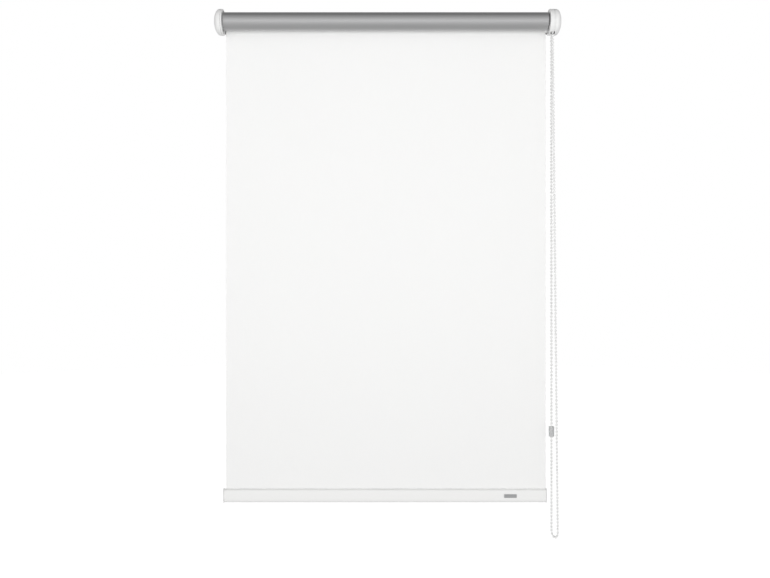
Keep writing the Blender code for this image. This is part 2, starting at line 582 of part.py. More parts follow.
def add_bottom_rail(painted, plastic, grey):
    """Hollow rail, the keder that holds the fabric in it, its end caps and a blank plate on its front."""
    start, end = RAIL_START + RAIL_CAP + GAP, RAIL_END - RAIL_CAP - GAP
    rail = add_part("bottom_rail", extruded(rail_outline(), (start, 0, 0), (end - start, 0, 0)), painted)
    keder_z = -RAIL_TOP - KEDER_DEPTH
    past = GAP
    channel = KEDER_RADIUS + 2 * GAP
    mouth = math.degrees(math.asin(RAIL_SLOT / 2 / channel))
    keyhole = arc((FABRIC_Y, keder_z), channel, 90 + mouth, 450 - mouth, 16)
    keyhole += [(FABRIC_Y + RAIL_SLOT / 2, -RAIL_TOP + past), (FABRIC_Y - RAIL_SLOT / 2, -RAIL_TOP + past)]
    combine(rail, extruded(in_yz(keyhole), (start - past, 0, 0), (end - start + 2 * past, 0, 0)), "DIFFERENCE")
    wide, tall = RAIL_DEPTH - 2 * RAIL_WALL, RAIL_HOLLOW_HEIGHT
    hollow_z = -RAIL_TOP - RAIL_HOLLOW_DEPTH
    combine(rail, block((start - past, FABRIC_Y - wide / 2, hollow_z - tall / 2),
                        (end + past, FABRIC_Y + wide / 2, hollow_z + tall / 2)), "DIFFERENCE")
    add_part("rail_keder", rod(start + GAP, end - GAP, KEDER_RADIUS, Vector((0, FABRIC_Y, keder_z)), 12), grey)

    for name, outer, inwards in (("rail_cap_left", RAIL_START, 1), ("rail_cap_right", RAIL_END, -1)):
        outline = rail_outline(RAIL_CAP_RIM, RAIL_CAP_DROP)
        cap = add_part(name, extruded(outline, (outer, 0, 0), (inwards * RAIL_CAP, 0, 0)), plastic)
        ends = sorted((outer + inwards * RAIL_CAP / 2, outer + inwards * (RAIL_CAP + TONGUE_LENGTH)))
        tongue = block((ends[0], FABRIC_Y - wide / 2 + GAP, hollow_z - tall / 2 + GAP),
                       (ends[1], FABRIC_Y + wide / 2 - GAP, hollow_z + tall / 2 - GAP))
        combine(cap, tongue, "UNION")

    width, thickness, height = BADGE_SIZE
    back = FABRIC_Y - RAIL_DEPTH / 2 - GAP
    x, z = RAIL_END - BADGE_INSET, -RAIL_TOP - BADGE_DEPTH
    add_part("rail_badge", block((x - width / 2, back - thickness, z - height / 2),
                                 (x + width / 2, back, z + height / 2)), grey, smooth=False)


# ---- Chain ----
WHEEL_X = HALF + WHEEL_MIDDLE
LOOP_CENTRE = Vector((WHEEL_X + LOOP_SHIFT, AXIS.y, -LOOP_BOTTOM + LOOP_RADIUS))
LOOP_SIDE = Vector((math.sin(LOOP_TURN), -math.cos(LOOP_TURN), 0)) * LOOP_RADIUS
FRONT_EXIT = AXIS + Vector((WHEEL_X, -EXIT_OUT, -EXIT_DROP))
REAR_EXIT = AXIS + Vector((WHEEL_X, EXIT_OUT, -EXIT_DROP))
REAR_FOOT = LOOP_CENTRE - LOOP_SIDE
LEAN = math.atan2(EXIT_DROP, EXIT_OUT + EXIT_BEND) - math.acos(
    (WHEEL_PITCH_RADIUS + EXIT_BEND) / math.hypot(EXIT_DROP, EXIT_OUT + EXIT_BEND))


def chain_route():
    """Points of the endless chain: from the wheel's top down the front, round the loop and up the back."""
    parting = 1.5 * GAP / WHEEL_PITCH_RADIUS / 2
    wheel_steps, exit_steps, strand_steps, bend_steps = 9, 3, 22, 9
    quarter = math.pi / 2

    def on_wheel(angle, facing):
        ring = Vector((0, facing * math.cos(angle), math.sin(angle))) * WHEEL_PITCH_RADIUS
        return AXIS + Vector((WHEEL_X, 0, 0)) + ring

    def at_exit(angle, facing):
        away = EXIT_OUT + EXIT_BEND - EXIT_BEND * math.cos(angle)
        return AXIS + Vector((WHEEL_X, facing * away, EXIT_BEND * math.sin(angle) - EXIT_DROP))

    def side(facing):
        sweep = quarter - parting + LEAN
        round_wheel = [on_wheel(quarter - parting - sweep * i / wheel_steps, facing) for i in range(wheel_steps + 1)]
        return round_wheel + [at_exit(LEAN * (1 - i / exit_steps), facing) for i in range(exit_steps + 1)]

    def along(start, end, steps):
        return [start.lerp(end, i / steps) for i in range(1, steps)]

    down = along(FRONT_EXIT, LOOP_CENTRE + LOOP_SIDE, strand_steps)
    up = along(REAR_FOOT, REAR_EXIT, strand_steps)
    bend = [LOOP_CENTRE + LOOP_SIDE * math.cos(a) - Vector((0, 0, LOOP_RADIUS * math.sin(a)))
            for a in (math.pi * i / bend_steps for i in range(bend_steps + 1))]
    return side(-1) + down + bend + up + side(1)[::-1]


def add_chain(plastic, grey):
    """The endless chain as a plain cord, and the two halves of the connector on its rear strand."""
    wire("bead_chain", chain_route(), BEAD_RADIUS, plastic, sides_level=2)
    share = (CONNECTOR_DROP + REAR_EXIT.z) / (REAR_EXIT.z - REAR_FOOT.z)
    middle = REAR_EXIT.lerp(REAR_FOOT, share)
    bore = BEAD_RADIUS + GAP
    wide, deep = CONNECTOR_WIDTH / 2, CONNECTOR_DEPTH / 2
    edge = CONNECTOR_ROUND
    for name, facing in (("connector_front", -1), ("connector_back", 1)):
        half = arc((0, 0), bore, 176, 4, 10)
        half += [(wide, GAP / 2)]
        half += arc((wide - edge, deep - edge), edge, 0, 90, 3)
        half += arc((-wide + edge, deep - edge), edge, 90, 180, 3)
        half += [(-wide, GAP / 2)]
        outline = [(x, facing * y, 0) for x, y in half]
        bottom = middle - Vector((0, 0, CONNECTOR_HEIGHT / 2))
        add_part(name, extruded(outline, bottom, (0, 0, CONNECTOR_HEIGHT)), grey)


def build():
    """Model every piece."""
    clear_scene()
    white_plastic = finish("white_plastic", (0.86, 0.86, 0.85), 0.35)
    white_paint = finish("white_paint", (0.88, 0.88, 0.87), 0.45)
    dark_zinc = finish("zinc", (0.20, 0.20, 0.20), 0.50, 1.0)
    steel = finish("steel", (0.55, 0.55, 0.56), 0.35, 1.0)
    aluminium = finish("aluminium", (0.75, 0.75, 0.76), 0.35, 1.0)
    silver = finish("silver_coating", (0.50, 0.50, 0.51), 0.38, 0.6)
    fabric = finish("white_fabric", (0.88, 0.88, 0.86), 0.90)
    grey = finish("grey_plastic", (0.45, 0.46, 0.47), 0.45)
    dark = finish("dark_plastic", (0.12, 0.12, 0.13), 0.50)
    clear_grey = finish("connector_plastic", (0.55, 0.56, 0.57), 0.25)
    add_idle_end(white_plastic, steel, dark_zinc, grey)
    add_chain_end(white_plastic, steel, dark_zinc, grey, dark)
    add_roller(aluminium, silver, fabric, grey)
    add_bottom_rail(white_paint, white_plastic, grey)
    add_chain(white_plastic, clear_grey)


build()
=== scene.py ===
"""White roller blind with a bead chain, and its studio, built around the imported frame.

Everything is in metres in the frame's own axes: X runs along the roller towards the chain, Y from the room
to the wall, Z up, with the roller's axis at height zero. Sizes that the frame holds are read from it.
"""

from __future__ import annotations

import json
import logging
import math
from dataclasses import dataclass
from enum import Enum
from typing import Any, Callable, Iterable, Sequence

import bmesh
import bpy
from mathutils import Matrix, Vector


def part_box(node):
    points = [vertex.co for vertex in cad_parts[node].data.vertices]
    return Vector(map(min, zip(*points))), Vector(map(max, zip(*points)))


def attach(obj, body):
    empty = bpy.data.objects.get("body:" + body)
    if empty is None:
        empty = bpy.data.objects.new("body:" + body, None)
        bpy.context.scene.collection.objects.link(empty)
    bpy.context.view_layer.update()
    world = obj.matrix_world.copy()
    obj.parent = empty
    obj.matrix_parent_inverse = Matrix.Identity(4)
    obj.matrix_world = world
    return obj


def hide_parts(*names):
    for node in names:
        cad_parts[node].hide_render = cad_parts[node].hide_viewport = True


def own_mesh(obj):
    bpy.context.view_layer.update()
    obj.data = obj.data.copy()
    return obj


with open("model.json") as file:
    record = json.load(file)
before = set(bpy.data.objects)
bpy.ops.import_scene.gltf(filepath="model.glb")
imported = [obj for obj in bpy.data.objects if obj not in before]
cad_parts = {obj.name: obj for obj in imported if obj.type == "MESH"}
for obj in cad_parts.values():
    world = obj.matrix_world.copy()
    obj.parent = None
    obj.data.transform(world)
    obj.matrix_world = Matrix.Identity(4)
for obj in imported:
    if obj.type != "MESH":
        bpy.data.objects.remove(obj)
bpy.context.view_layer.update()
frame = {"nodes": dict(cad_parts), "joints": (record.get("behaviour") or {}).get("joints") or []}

log = logging.getLogger("roller_blind")

MM = 0.001
CLEARANCE = 0.3 * MM
TOUCH = 1e-6
SHARP = math.radians(32)
X_AXIS, Y_AXIS, Z_AXIS = Vector((1, 0, 0)), Vector((0, 1, 0)), Vector((0, 0, 1))
Colour = tuple[float, float, float]
Settings = dict[str, Any] | None
Sockets = dict[Any, Any] | None
Pick = Callable[[bmesh.types.BMEdge], bool]


class Side(Enum):
    """The two ends of the blind, by the direction in which each lies along X."""

    IDLE = -1
    CHAIN = 1


class Slot(Enum):
    """The record's material slots, handed along with each piece."""

    WHITE_PLASTIC = "white_plastic"
    WHITE_PAINT = "white_paint"
    ZINC = "zinc"
    STEEL = "steel"
    SILVER = "silver_coating"
    CLOTH = "white_fabric"
    GREY = "grey_plastic"
    CHAIN = "chain_plastic"
    CONNECTOR = "connector_plastic"


# ---------------------------------------------------------------------------
# Shader maths
# ---------------------------------------------------------------------------


class Value:
    """A number that a shader socket carries, for maths written as plain expressions."""

    def __init__(self, graph: "Graph", socket: bpy.types.NodeSocket) -> None:
        """Wrap one socket of a graph."""
        self.graph, self.socket = graph, socket

    def __add__(self, other: "Value | float") -> "Value":
        """This value plus another."""
        return self.graph.maths("ADD", self, other)

    __radd__ = __add__

    def __sub__(self, other: "Value | float") -> "Value":
        """This value less another."""
        return self.graph.maths("SUBTRACT", self, other)

    def __rsub__(self, other: float) -> "Value":
        """A number less this value."""
        return self.graph.maths("SUBTRACT", other, self)

    def __mul__(self, other: "Value | float") -> "Value":
        """This value times another."""
        return self.graph.maths("MULTIPLY", self, other)

    __rmul__ = __mul__

    def __truediv__(self, other: "Value | float") -> "Value":
        """This value divided by another."""
        return self.graph.maths("DIVIDE", self, other)

    def __abs__(self) -> "Value":
        """This value without its sign."""
        return self.graph.maths("ABSOLUTE", self)

    def sine(self) -> "Value":
        """Sine of this value in radians."""
        return self.graph.maths("SINE", self)

    def fraction(self) -> "Value":
        """What is left of this value above the whole number below it."""
        return self.graph.maths("FRACT", self)

    def fade(self, low: float, high: float) -> "Value":
        """Smooth step of this value.

        Args:
            low: The value that gives 0.
            high: The value that gives 1.

        Returns:
            A value from 0 to 1.
        """
        settings = {"interpolation_type": "SMOOTHSTEP"}
        sockets = {"Value": self, "From Min": low, "From Max": high}
        return self.graph.value("ShaderNodeMapRange", settings, sockets)


class Graph:
    """The node tree of a material or of the world."""

    def __init__(self, owner: bpy.types.Material | bpy.types.World) -> None:
        """Start with the owner's tree empty."""
        owner.use_nodes = True
        self.owner, self.tree = owner, owner.node_tree
        self.tree.nodes.clear()

    @staticmethod
    def of_material(name: str) -> "Graph":
        """The empty tree of a new material."""
        return Graph(bpy.data.materials.new(name))

    def node(self, kind: str, settings: Settings = None, sockets: Sockets = None) -> Any:
        """Add any node.

        Args:
            kind: The node's type.
            settings: Its own settings, which are set first. "stops" are a ramp's (place, colour) pairs.
            sockets: Numbers, colours, values or sockets for its inputs, by name or number.

        Returns:
            The node.
        """
        made = self.tree.nodes.new(kind)
        for name, setting in (settings or {}).items():
            if name == "stops":
                ramp = made.color_ramp.elements
                while len(ramp) < len(setting):
                    ramp.new(0.5)
                for stop, (place, colour) in zip(ramp, setting):
                    stop.position, stop.color = place, (*colour, 1.0)
            else:
                setattr(made, name, setting)
        for name, given in (sockets or {}).items():
            self.feed(made.inputs[name], given)
        return made

    def feed(self, socket: bpy.types.NodeSocket, given: Any) -> None:
        """Link or set one input."""
        if isinstance(given, Value):
            given = given.socket
        if isinstance(given, bpy.types.NodeSocket):
            self.tree.links.new(given, socket)
        elif isinstance(given, tuple) and len(given) == 3 and socket.type == "RGBA":
            socket.default_value = (*given, 1.0)
        else:
            socket.default_value = given

    def value(self, kind: str, settings: Settings, sockets: Sockets, output: Any = 0) -> Value:
        """Add a node and take one of its outputs as a value."""
        return Value(self, self.node(kind, settings, sockets).outputs[output])

    def maths(self, operation: str, *terms: "Value | float") -> Value:
        """Add a Math node."""
        return self.value("ShaderNodeMath", {"operation": operation}, dict(enumerate(terms)))

    def place(self) -> tuple[Value, Value, Value]:
        """The point on the object, as three values in metres."""
        where = self.node("ShaderNodeTexCoord").outputs["Object"]
        apart = self.node("ShaderNodeSeparateXYZ", None, {0: where})
        return Value(self, apart.outputs[0]), Value(self, apart.outputs[1]), Value(self, apart.outputs[2])

    def attribute(self, name: str) -> Value:
        """A number that the mesh carries at its points."""
        return self.value("ShaderNodeAttribute", {"attribute_name": name}, {}, "Fac")

    def point(self, x: Value | float, y: Value | float, z: Value | float) -> bpy.types.NodeSocket:
        """Three values as a vector."""
        return self.node("ShaderNodeCombineXYZ", None, {0: x, 1: y, 2: z}).outputs[0]

    def noise(self, stretch: Sequence[float], detail: float = 2.0) -> Value:
        """Soft noise from 0 to 1 over the object.

        Args:
            stretch: How many waves there are in a metre along each axis.
            detail: How many finer layers it has.

        Returns:
            The noise as a value.
        """
        where = self.node("ShaderNodeTexCoord").outputs["Object"]
        scaled = self.node("ShaderNodeMapping", None, {"Vector": where, "Scale": tuple(stretch)}).outputs[0]
        return self.noise_at(scaled, detail)

    def noise_at(self, where: bpy.types.NodeSocket, detail: float = 2.0) -> Value:
        """Soft noise from 0 to 1 at a vector, one wave to a unit."""
        sockets = {"Vector": where, "Scale": 1.0, "Detail": detail}
        return self.value("ShaderNodeTexNoise", None, sockets, "Fac")

    def tint(self, mask: Value, low: Colour, high: Colour) -> bpy.types.NodeSocket:
        """A colour between two, by a mask."""
        mixed = self.node("ShaderNodeMix", {"data_type": "RGBA"}, {"Factor": mask})
        self.feed(mixed.inputs[6], low)
        self.feed(mixed.inputs[7], high)
        return mixed.outputs[2]

    def relief(self, height: Value, depth: float) -> bpy.types.NodeSocket:
        """A normal from a height of 0 to 1 that stands for a depth in metres."""
        sockets = {"Strength": 1.0, "Distance": depth, "Height": height}
        return self.node("ShaderNodeBump", None, sockets).outputs[0]

    def surface(self, **sockets: Any) -> bpy.types.Material:
        """Close the tree with a Principled surface.

        Args:
            **sockets: The shader's inputs, with underscores for spaces.

        Returns:
            The material.
        """
        inputs = {name.replace("_", " "): given for name, given in sockets.items()}
        shader = self.node("ShaderNodeBsdfPrincipled", None, inputs)
        self.node("ShaderNodeOutputMaterial", None, {"Surface": shader.outputs[0]})
        return self.owner


# ---------------------------------------------------------------------------
# Finishes
# ---------------------------------------------------------------------------


def shade(colour: Colour, share: float) -> Colour:
    """A colour made lighter or darker by a share of itself."""
    return (colour[0] * share, colour[1] * share, colour[2] * share)


@dataclass(frozen=True)
class Finish:
    """What every finish has: a name, a colour and how rough it is."""

    name: str
    colour: Colour
    roughness: float

    def material(self) -> bpy.types.Material:
        """The finish as a material, made once."""
        made = bpy.data.materials.get(self.name)
        return made or self.mix(Graph.of_material(self.name))

    def mix(self, graph: Graph) -> bpy.types.Material:
        """Build the finish's nodes."""
        raise NotImplementedError


@dataclass(frozen=True)
class Moulding(Finish):
    """Moulded plastic: a fine spark-eroded grain, slow flow marks and a little gloss."""

    grain: float = 0.012 * MM
    flow: float = 0.03
    gloss: float = 0.12

    def mix(self, graph: Graph) -> bpy.types.Material:
        """Grain in the relief, flow marks in colour and roughness."""
        flow = graph.noise((60, 90, 90), 3.0)
        grain = graph.noise((5200, 5200, 5200), 2.0)
        return graph.surface(
            Base_Color=graph.tint(flow, shade(self.colour, 1 - self.flow), self.colour),
            Roughness=self.roughness + 0.07 * (flow - 0.5) + 0.05 * (grain - 0.5),
            Normal=graph.relief(grain, self.grain),
            Coat_Weight=self.gloss,
            Coat_Roughness=0.25,
        )


@dataclass(frozen=True)
class PowderCoat(Finish):
    """Baked powder on aluminium: a rippled skin like orange peel."""

    peel: float = 0.035 * MM

    def mix(self, graph: Graph) -> bpy.types.Material:
        """Ripples a millimetre or two across, and finer ones on them."""
        peel = graph.noise((420, 900, 900), 1.0)
        fine = graph.noise((2600, 2600, 2600), 1.0)
        tone = graph.noise((14, 60, 60), 2.0)
        return graph.surface(
            Base_Color=graph.tint(tone, shade(self.colour, 0.985), self.colour),
            Roughness=self.roughness + 0.08 * (fine - 0.5),
            Normal=graph.relief(0.8 * peel + 0.2 * fine, self.peel),
            Coat_Weight=0.15,
            Coat_Roughness=0.3,
        )


class Lay(Enum):
    """The way that the marks of making run over a metal, as waves in a metre along each axis."""

    DRAWN = (18.0, 3800.0, 3800.0)
    TURNED = (5200.0, 60.0, 60.0)
    ROLLED = (900.0, 140.0, 2600.0)


@dataclass(frozen=True)
class Metal(Finish):
    """Bare metal with the fine lines that drawing, turning or rolling leaves."""

    lay: Lay = Lay.DRAWN
    lines: float = 0.006 * MM
    stain: float = 0.12

    def mix(self, graph: Graph) -> bpy.types.Material:
        """Lines in relief and roughness over a slow stain."""
        lines = graph.noise(self.lay.value, 3.0)
        stain = graph.noise((70, 70, 70), 3.0)
        return graph.surface(
            Base_Color=graph.tint(stain, shade(self.colour, 1 - self.stain), self.colour),
            Metallic=1.0,
            Roughness=self.roughness + 0.16 * (lines - 0.5) + 0.08 * (stain - 0.5),
            Normal=graph.relief(lines, self.lines),
        )


@dataclass(frozen=True)
class ZincPlate(Finish):
    """Passivated zinc on bent steel: crystals that each catch the light a little differently."""

    crystal: float = 420.0
    depth: float = 0.008 * MM

    def mix(self, graph: Graph) -> bpy.types.Material:
        """Crystals in colour and roughness, with rolling lines under them."""
        where = graph.node("ShaderNodeTexCoord").outputs["Object"]
        cells = graph.node("ShaderNodeTexVoronoi", None, {"Vector": where, "Scale": self.crystal})
        facet = graph.value("ShaderNodeSeparateColor", None, {0: cells.outputs["Color"]})
        cloud = graph.noise((90, 90, 90), 3.0)
        lines = graph.noise((300, 2600, 260), 2.0)
        tone = 0.6 * facet + 0.4 * cloud
        return graph.surface(
            Base_Color=graph.tint(tone, shade(self.colour, 0.8), shade(self.colour, 1.15)),
            Metallic=1.0,
            Roughness=self.roughness + 0.14 * (facet - 0.5) + 0.10 * (cloud - 0.5),
            Normal=graph.relief(0.7 * lines + 0.3 * facet, self.depth),
        )


@dataclass(frozen=True)
class Weave:
    """The plain weave of the blind's cloth, with slubs and a small diamond figure."""

    thread: float = 0.55 * MM
    diamond: float = 4.2 * MM

    def threads(self, across: Value, along: Value) -> Value:
        """Height of the threads, from 0 to 1, where two distances over the cloth meet."""
        turn = 2 * math.pi / self.thread
        over = (across * turn).sine() * (along * turn).sine()
        return over * 0.5 + 0.5

    def slubs(self, graph: Graph, across: Value, along: Value) -> Value:
        """Thick places in single threads, from 0 to 1."""
        weft = graph.noise_at(graph.point(across * 70, 0.0, along * 1500), 2.0)
        warp = graph.noise_at(graph.point(across * 1500, 3.7, along * 55), 2.0)
        return 0.5 * weft + 0.5 * warp

    def figure(self, across: Value, along: Value) -> Value:
        """The diamond figure: 1 on the lines between the diamonds and 0 inside them."""
        rising = abs(((across + along * 0.8) / self.diamond).fraction() - 0.5)
        falling = abs(((across - along * 0.8) / self.diamond).fraction() - 0.5)
        return rising.fade(0.36, 0.5) * 0.5 + falling.fade(0.36, 0.5) * 0.5


@dataclass(frozen=True)
class WhiteCloth(Finish):
    """Room side of the cloth: matt white threads."""

    weave: Weave = Weave()
    depth: float = 0.05 * MM

    def mix(self, graph: Graph) -> bpy.types.Material:
        """Threads, slubs and figure over X and Z."""
        across, _, along = graph.place()
        threads = self.weave.threads(across, along)
        slubs = self.weave.slubs(graph, across, along)
        figure = self.weave.figure(across, along)
        cloud = graph.noise((9, 9, 7), 3.0)
        tone = 0.35 * slubs.fade(0.3, 0.7) + 0.25 * threads + 0.2 * figure + 0.2 * cloud
        return graph.surface(
            Base_Color=graph.tint(tone, shade(self.colour, 0.965), self.colour),
            Roughness=self.roughness + 0.06 * (slubs - 0.5),
            Normal=graph.relief(0.55 * threads + 0.3 * slubs + 0.15 * figure, self.depth),
            Sheen_Weight=0.08,
            Sheen_Roughness=0.6,
            Specular_IOR_Level=0.25,
        )


@dataclass(frozen=True)
class SilverCloth(Finish):
    """Window side of the cloth: a thin metallic coat over the same threads.

    The cloth on the roller carries how far along it each point is; the hanging cloth is read over X and Z.
    """

    weave: Weave = Weave()
    wound: bool = False
    metal: float = 0.85
    depth: float = 0.012 * MM

    def mix(self, graph: Graph) -> bpy.types.Material:
        """Threads pressed flat under the coat, with slow streaks across the cloth."""
        across, _, height = graph.place()
        along = graph.attribute("along") if self.wound else height
        threads = self.weave.threads(across, along)
        slubs = self.weave.slubs(graph, across, along)
        streaks = graph.noise_at(graph.point(across * 5, 1.3, along * 160), 2.0)
        coat = 0.5 * slubs + 0.5 * streaks
        return graph.surface(
            Base_Color=graph.tint(coat, shade(self.colour, 0.94), shade(self.colour, 1.04)),
            Metallic=self.metal,
            Roughness=self.roughness + 0.08 * (coat - 0.5) + 0.03 * (threads - 0.5),
            Normal=graph.relief(0.7 * threads + 0.3 * slubs, self.depth),
        )


@dataclass(frozen=True)
class BeadPlastic(Finish):
    """White nylon of the bead chain, each bead a shade of its own."""

    depth: float = 0.01 * MM

    def mix(self, graph: Graph) -> bpy.types.Material:
        """The bead's own shade with a faint cloudiness."""
        own = graph.attribute("bead")
        cloud = graph.noise((700, 700, 700), 2.0)
        return graph.surface(
            Base_Color=graph.tint(0.6 * own + 0.4 * cloud, shade(self.colour, 0.94), self.colour),
            Roughness=self.roughness + 0.08 * (cloud - 0.5),
            Normal=graph.relief(cloud, self.depth),
            Coat_Weight=0.2,
            Coat_Roughness=0.2,
        )


@dataclass(frozen=True)
class SmokedPlastic(Finish):
    """Smoked polycarbonate of the connector, a little cloudy."""

    depth: float = 0.02 * MM

    def mix(self, graph: Graph) -> bpy.types.Material:
        """Cloudy smoke that lets a little light through."""
        cloud = graph.noise((260, 260, 160), 3.0)
        return graph.surface(
            Base_Color=graph.tint(cloud, shade(self.colour, 0.8), shade(self.colour, 1.15)),
            Roughness=self.roughness + 0.06 * (cloud - 0.5),
            Normal=graph.relief(cloud, self.depth),
            Transmission_Weight=0.25,
            Coat_Weight=0.5,
            Coat_Roughness=0.1,
        )


@dataclass(frozen=True)
class Finishes:
    """Every finish on the blind."""

    white: Finish = Moulding("moulded_white", (0.845, 0.845, 0.84), 0.36)
    grey: Finish = Moulding("moulded_grey", (0.40, 0.41, 0.42), 0.45, flow=0.08)
    dark: Finish = Moulding("moulded_dark", (0.06, 0.06, 0.065), 0.42, flow=0.15)
    paint: Finish = PowderCoat("powder_white", (0.87, 0.87, 0.86), 0.42)
    # Zinc colour made near black: a dark passivated finish, darkened further as painted shade for the
    # shadowed recess behind the end covers.
    zinc: Finish = ZincPlate("zinc_dark_with_painted_shade", (0.055, 0.055, 0.058), 0.50)
    turned: Finish = Metal("turned_steel", (0.55, 0.55, 0.56), 0.28, lay=Lay.TURNED)
    spring: Finish = Metal("spring_steel", (0.42, 0.42, 0.43), 0.25, lay=Lay.DRAWN)
    tube: Finish = Metal("extruded_aluminium", (0.76, 0.76, 0.77), 0.32, lay=Lay.DRAWN)
    plate: Finish = Metal("brushed_plate", (0.54, 0.545, 0.55), 0.40, lay=Lay.ROLLED)
    cloth: Finish = WhiteCloth("white_cloth", (0.90, 0.90, 0.894), 0.92)
    silver: Finish = SilverCloth("silver_coat", (0.60, 0.60, 0.605), 0.36)
    wound: Finish = SilverCloth("silver_coat_wound", (0.60, 0.60, 0.605), 0.33, wound=True)
    beads: Finish = BeadPlastic("bead_nylon", (0.85, 0.85, 0.846), 0.32)
    smoked: Finish = SmokedPlastic("smoked_connector", (0.66, 0.665, 0.67), 0.26)


# ---------------------------------------------------------------------------
# Modelling
# ---------------------------------------------------------------------------


class Shape:
    """A mesh on the bench, shaped with operators until it is made a piece."""

    def __init__(self) -> None:
        """Start with nothing on the bench."""
        self.bm = bmesh.new()

    def block(self, low: Vector, high: Vector) -> "Shape":
        """Add a box between two corners."""
        size = high - low
        place = Matrix.Translation((low + high) / 2) @ Matrix.Diagonal((*size, 1.0))
        bmesh.ops.create_cube(self.bm, size=1.0, matrix=place)
        return self

    def rod(
        self, start: Vector, end: Vector, radius: float, end_radius: float | None = None, sides: int = 48
    ) -> "Shape":
        """Add a round bar or cone between two points."""
        run = end - start
        turn = Z_AXIS.rotation_difference(run.normalized()).to_matrix().to_4x4()
        bmesh.ops.create_cone(
            self.bm,
            cap_ends=True,
            cap_tris=False,
            segments=sides,
            radius1=radius,
            radius2=radius if end_radius is None else end_radius,
            depth=run.length,
            matrix=Matrix.Translation((start + end) / 2) @ turn,
        )
        return self

    def lathe(self, outline: Sequence[tuple[float, float]], centre: Vector, steps: int = 96) -> "Shape":
        """Turn an outline about the line along X through a centre.

        Args:
            outline: (x, radius) points. It closes on itself unless both ends lie on the axis.
            centre: A point on the axis.
            steps: How many sides the round has.

        Returns:
            This shape.
        """
        points = [self.bm.verts.new((x, centre.y + radius, centre.z)) for x, radius in outline]
        open_ended = outline[0][1] == 0 and outline[-1][1] == 0
        pairs = list(zip(points, points[1:])) + ([] if open_ended else [(points[-1], points[0])])
        edges = [self.bm.edges.new(pair) for pair in pairs]
        bmesh.ops.spin(
            self.bm, geom=points + edges, cent=centre, axis=X_AXIS, dvec=(0, 0, 0),
            angle=2 * math.pi, steps=steps, use_merge=True, use_normal_flip=False, use_duplicate=False,
        )
        bmesh.ops.remove_doubles(self.bm, verts=self.bm.verts, dist=TOUCH)
        return self.outwards()

    def outwards(self) -> "Shape":
        """Turn every face to point out of its shell."""
        bmesh.ops.recalc_face_normals(self.bm, faces=self.bm.faces)
        return self

    def draw_out(
        self, edges: list[bmesh.types.BMEdge]
    ) -> tuple[list[bmesh.types.BMVert], list[bmesh.types.BMEdge]]:
        """Draw edges out into new faces.

        Args:
            edges: The edges, joined end to end.

        Returns:
            The new points and the new edges, which still lie on the old ones.
        """
        grown = bmesh.ops.extrude_edge_only(self.bm, edges=edges)["geom"]
        points = [item for item in grown if isinstance(item, bmesh.types.BMVert)]
        return points, [item for item in grown if isinstance(item, bmesh.types.BMEdge)]

    def ease(self, width: float, picked: Pick, segments: int = 3) -> "Shape":
        """Round chosen edges.

        Args:
            width: How far back from the edge the round starts.
            picked: Says whether an edge is to be rounded.
            segments: How many facets the round has.

        Returns:
            This shape.
        """
        self.bm.normal_update()
        edges = [edge for edge in self.bm.edges if picked(edge)]
        bmesh.ops.bevel(
            self.bm, geom=edges, offset=width, offset_type="OFFSET", affect="EDGES", segments=segments,
            profile=0.5, material=-1, clamp_overlap=True,
        )
        return self

    def ease_corners(self, width: float, segments: int = 3) -> "Shape":
        """Round every edge where two faces meet sharply."""
        return self.ease(width, is_sharp, segments)

    def piece(self, name: str, finishes: Iterable[Finish], smooth: bool = True) -> bpy.types.Object:
        """Take the shape off the bench as an object.

        Args:
            name: The piece's name.
            finishes: Its finishes, one for each material number that the faces use.
            smooth: Whether it is shaded round between its sharp edges.

        Returns:
            The object, at the origin.
        """
        mesh = bpy.data.meshes.new(name)
        self.bm.to_mesh(mesh)
        self.bm.free()
        made = bpy.data.objects.new(name, mesh)
        bpy.context.collection.objects.link(made)
        for finish in finishes:
            mesh.materials.append(finish.material())
        if smooth:
            round_off(made)
        return made


def is_sharp(edge: bmesh.types.BMEdge) -> bool:
    """Whether two faces meet at an edge by more than a smooth curve's turn."""
    return len(edge.link_faces) == 2 and edge.calc_face_angle(0.0) > SHARP


def sharp_at(x: float) -> Pick:
    """A test for sharp edges that lie wholly at one X."""
    return lambda edge: is_sharp(edge) and all(abs(vert.co.x - x) < TOUCH for vert in edge.verts)


def runs_along(edge: bmesh.types.BMEdge, axis: Vector) -> bool:
    """Whether an edge runs along an axis."""
    return abs((edge.verts[1].co - edge.verts[0].co).normalized().dot(axis)) > 0.99


def round_off(piece: bpy.types.Object) -> None:
    """Shade a piece round, except over its sharp edges."""
    piece.data.shade_smooth()
    piece.data.set_sharp_from_angle(angle=SHARP)


def settle_modifiers(piece: bpy.types.Object) -> None:
    """Make a piece's modifiers part of its mesh."""
    shown = piece.evaluated_get(bpy.context.evaluated_depsgraph_get())
    mesh = bpy.data.meshes.new_from_object(shown)
    piece.modifiers.clear()
    piece.data = mesh


def thicken(piece: bpy.types.Object, thickness: float, lining: int = 0, even: bool = False) -> None:
    """Give a sheet a thickness, half of it to each side, as a modifier.

    Args:
        piece: The sheet.
        thickness: Its thickness.
        lining: How far down the list of finishes the far face takes its own.
        even: Whether more care is taken to keep the thickness even over bends.
    """
    solid = piece.modifiers.new("Thickness", "SOLIDIFY")
    solid.thickness, solid.offset, solid.use_even_offset = thickness, 0.0, True
    solid.material_offset, solid.use_quality_normals = lining, even


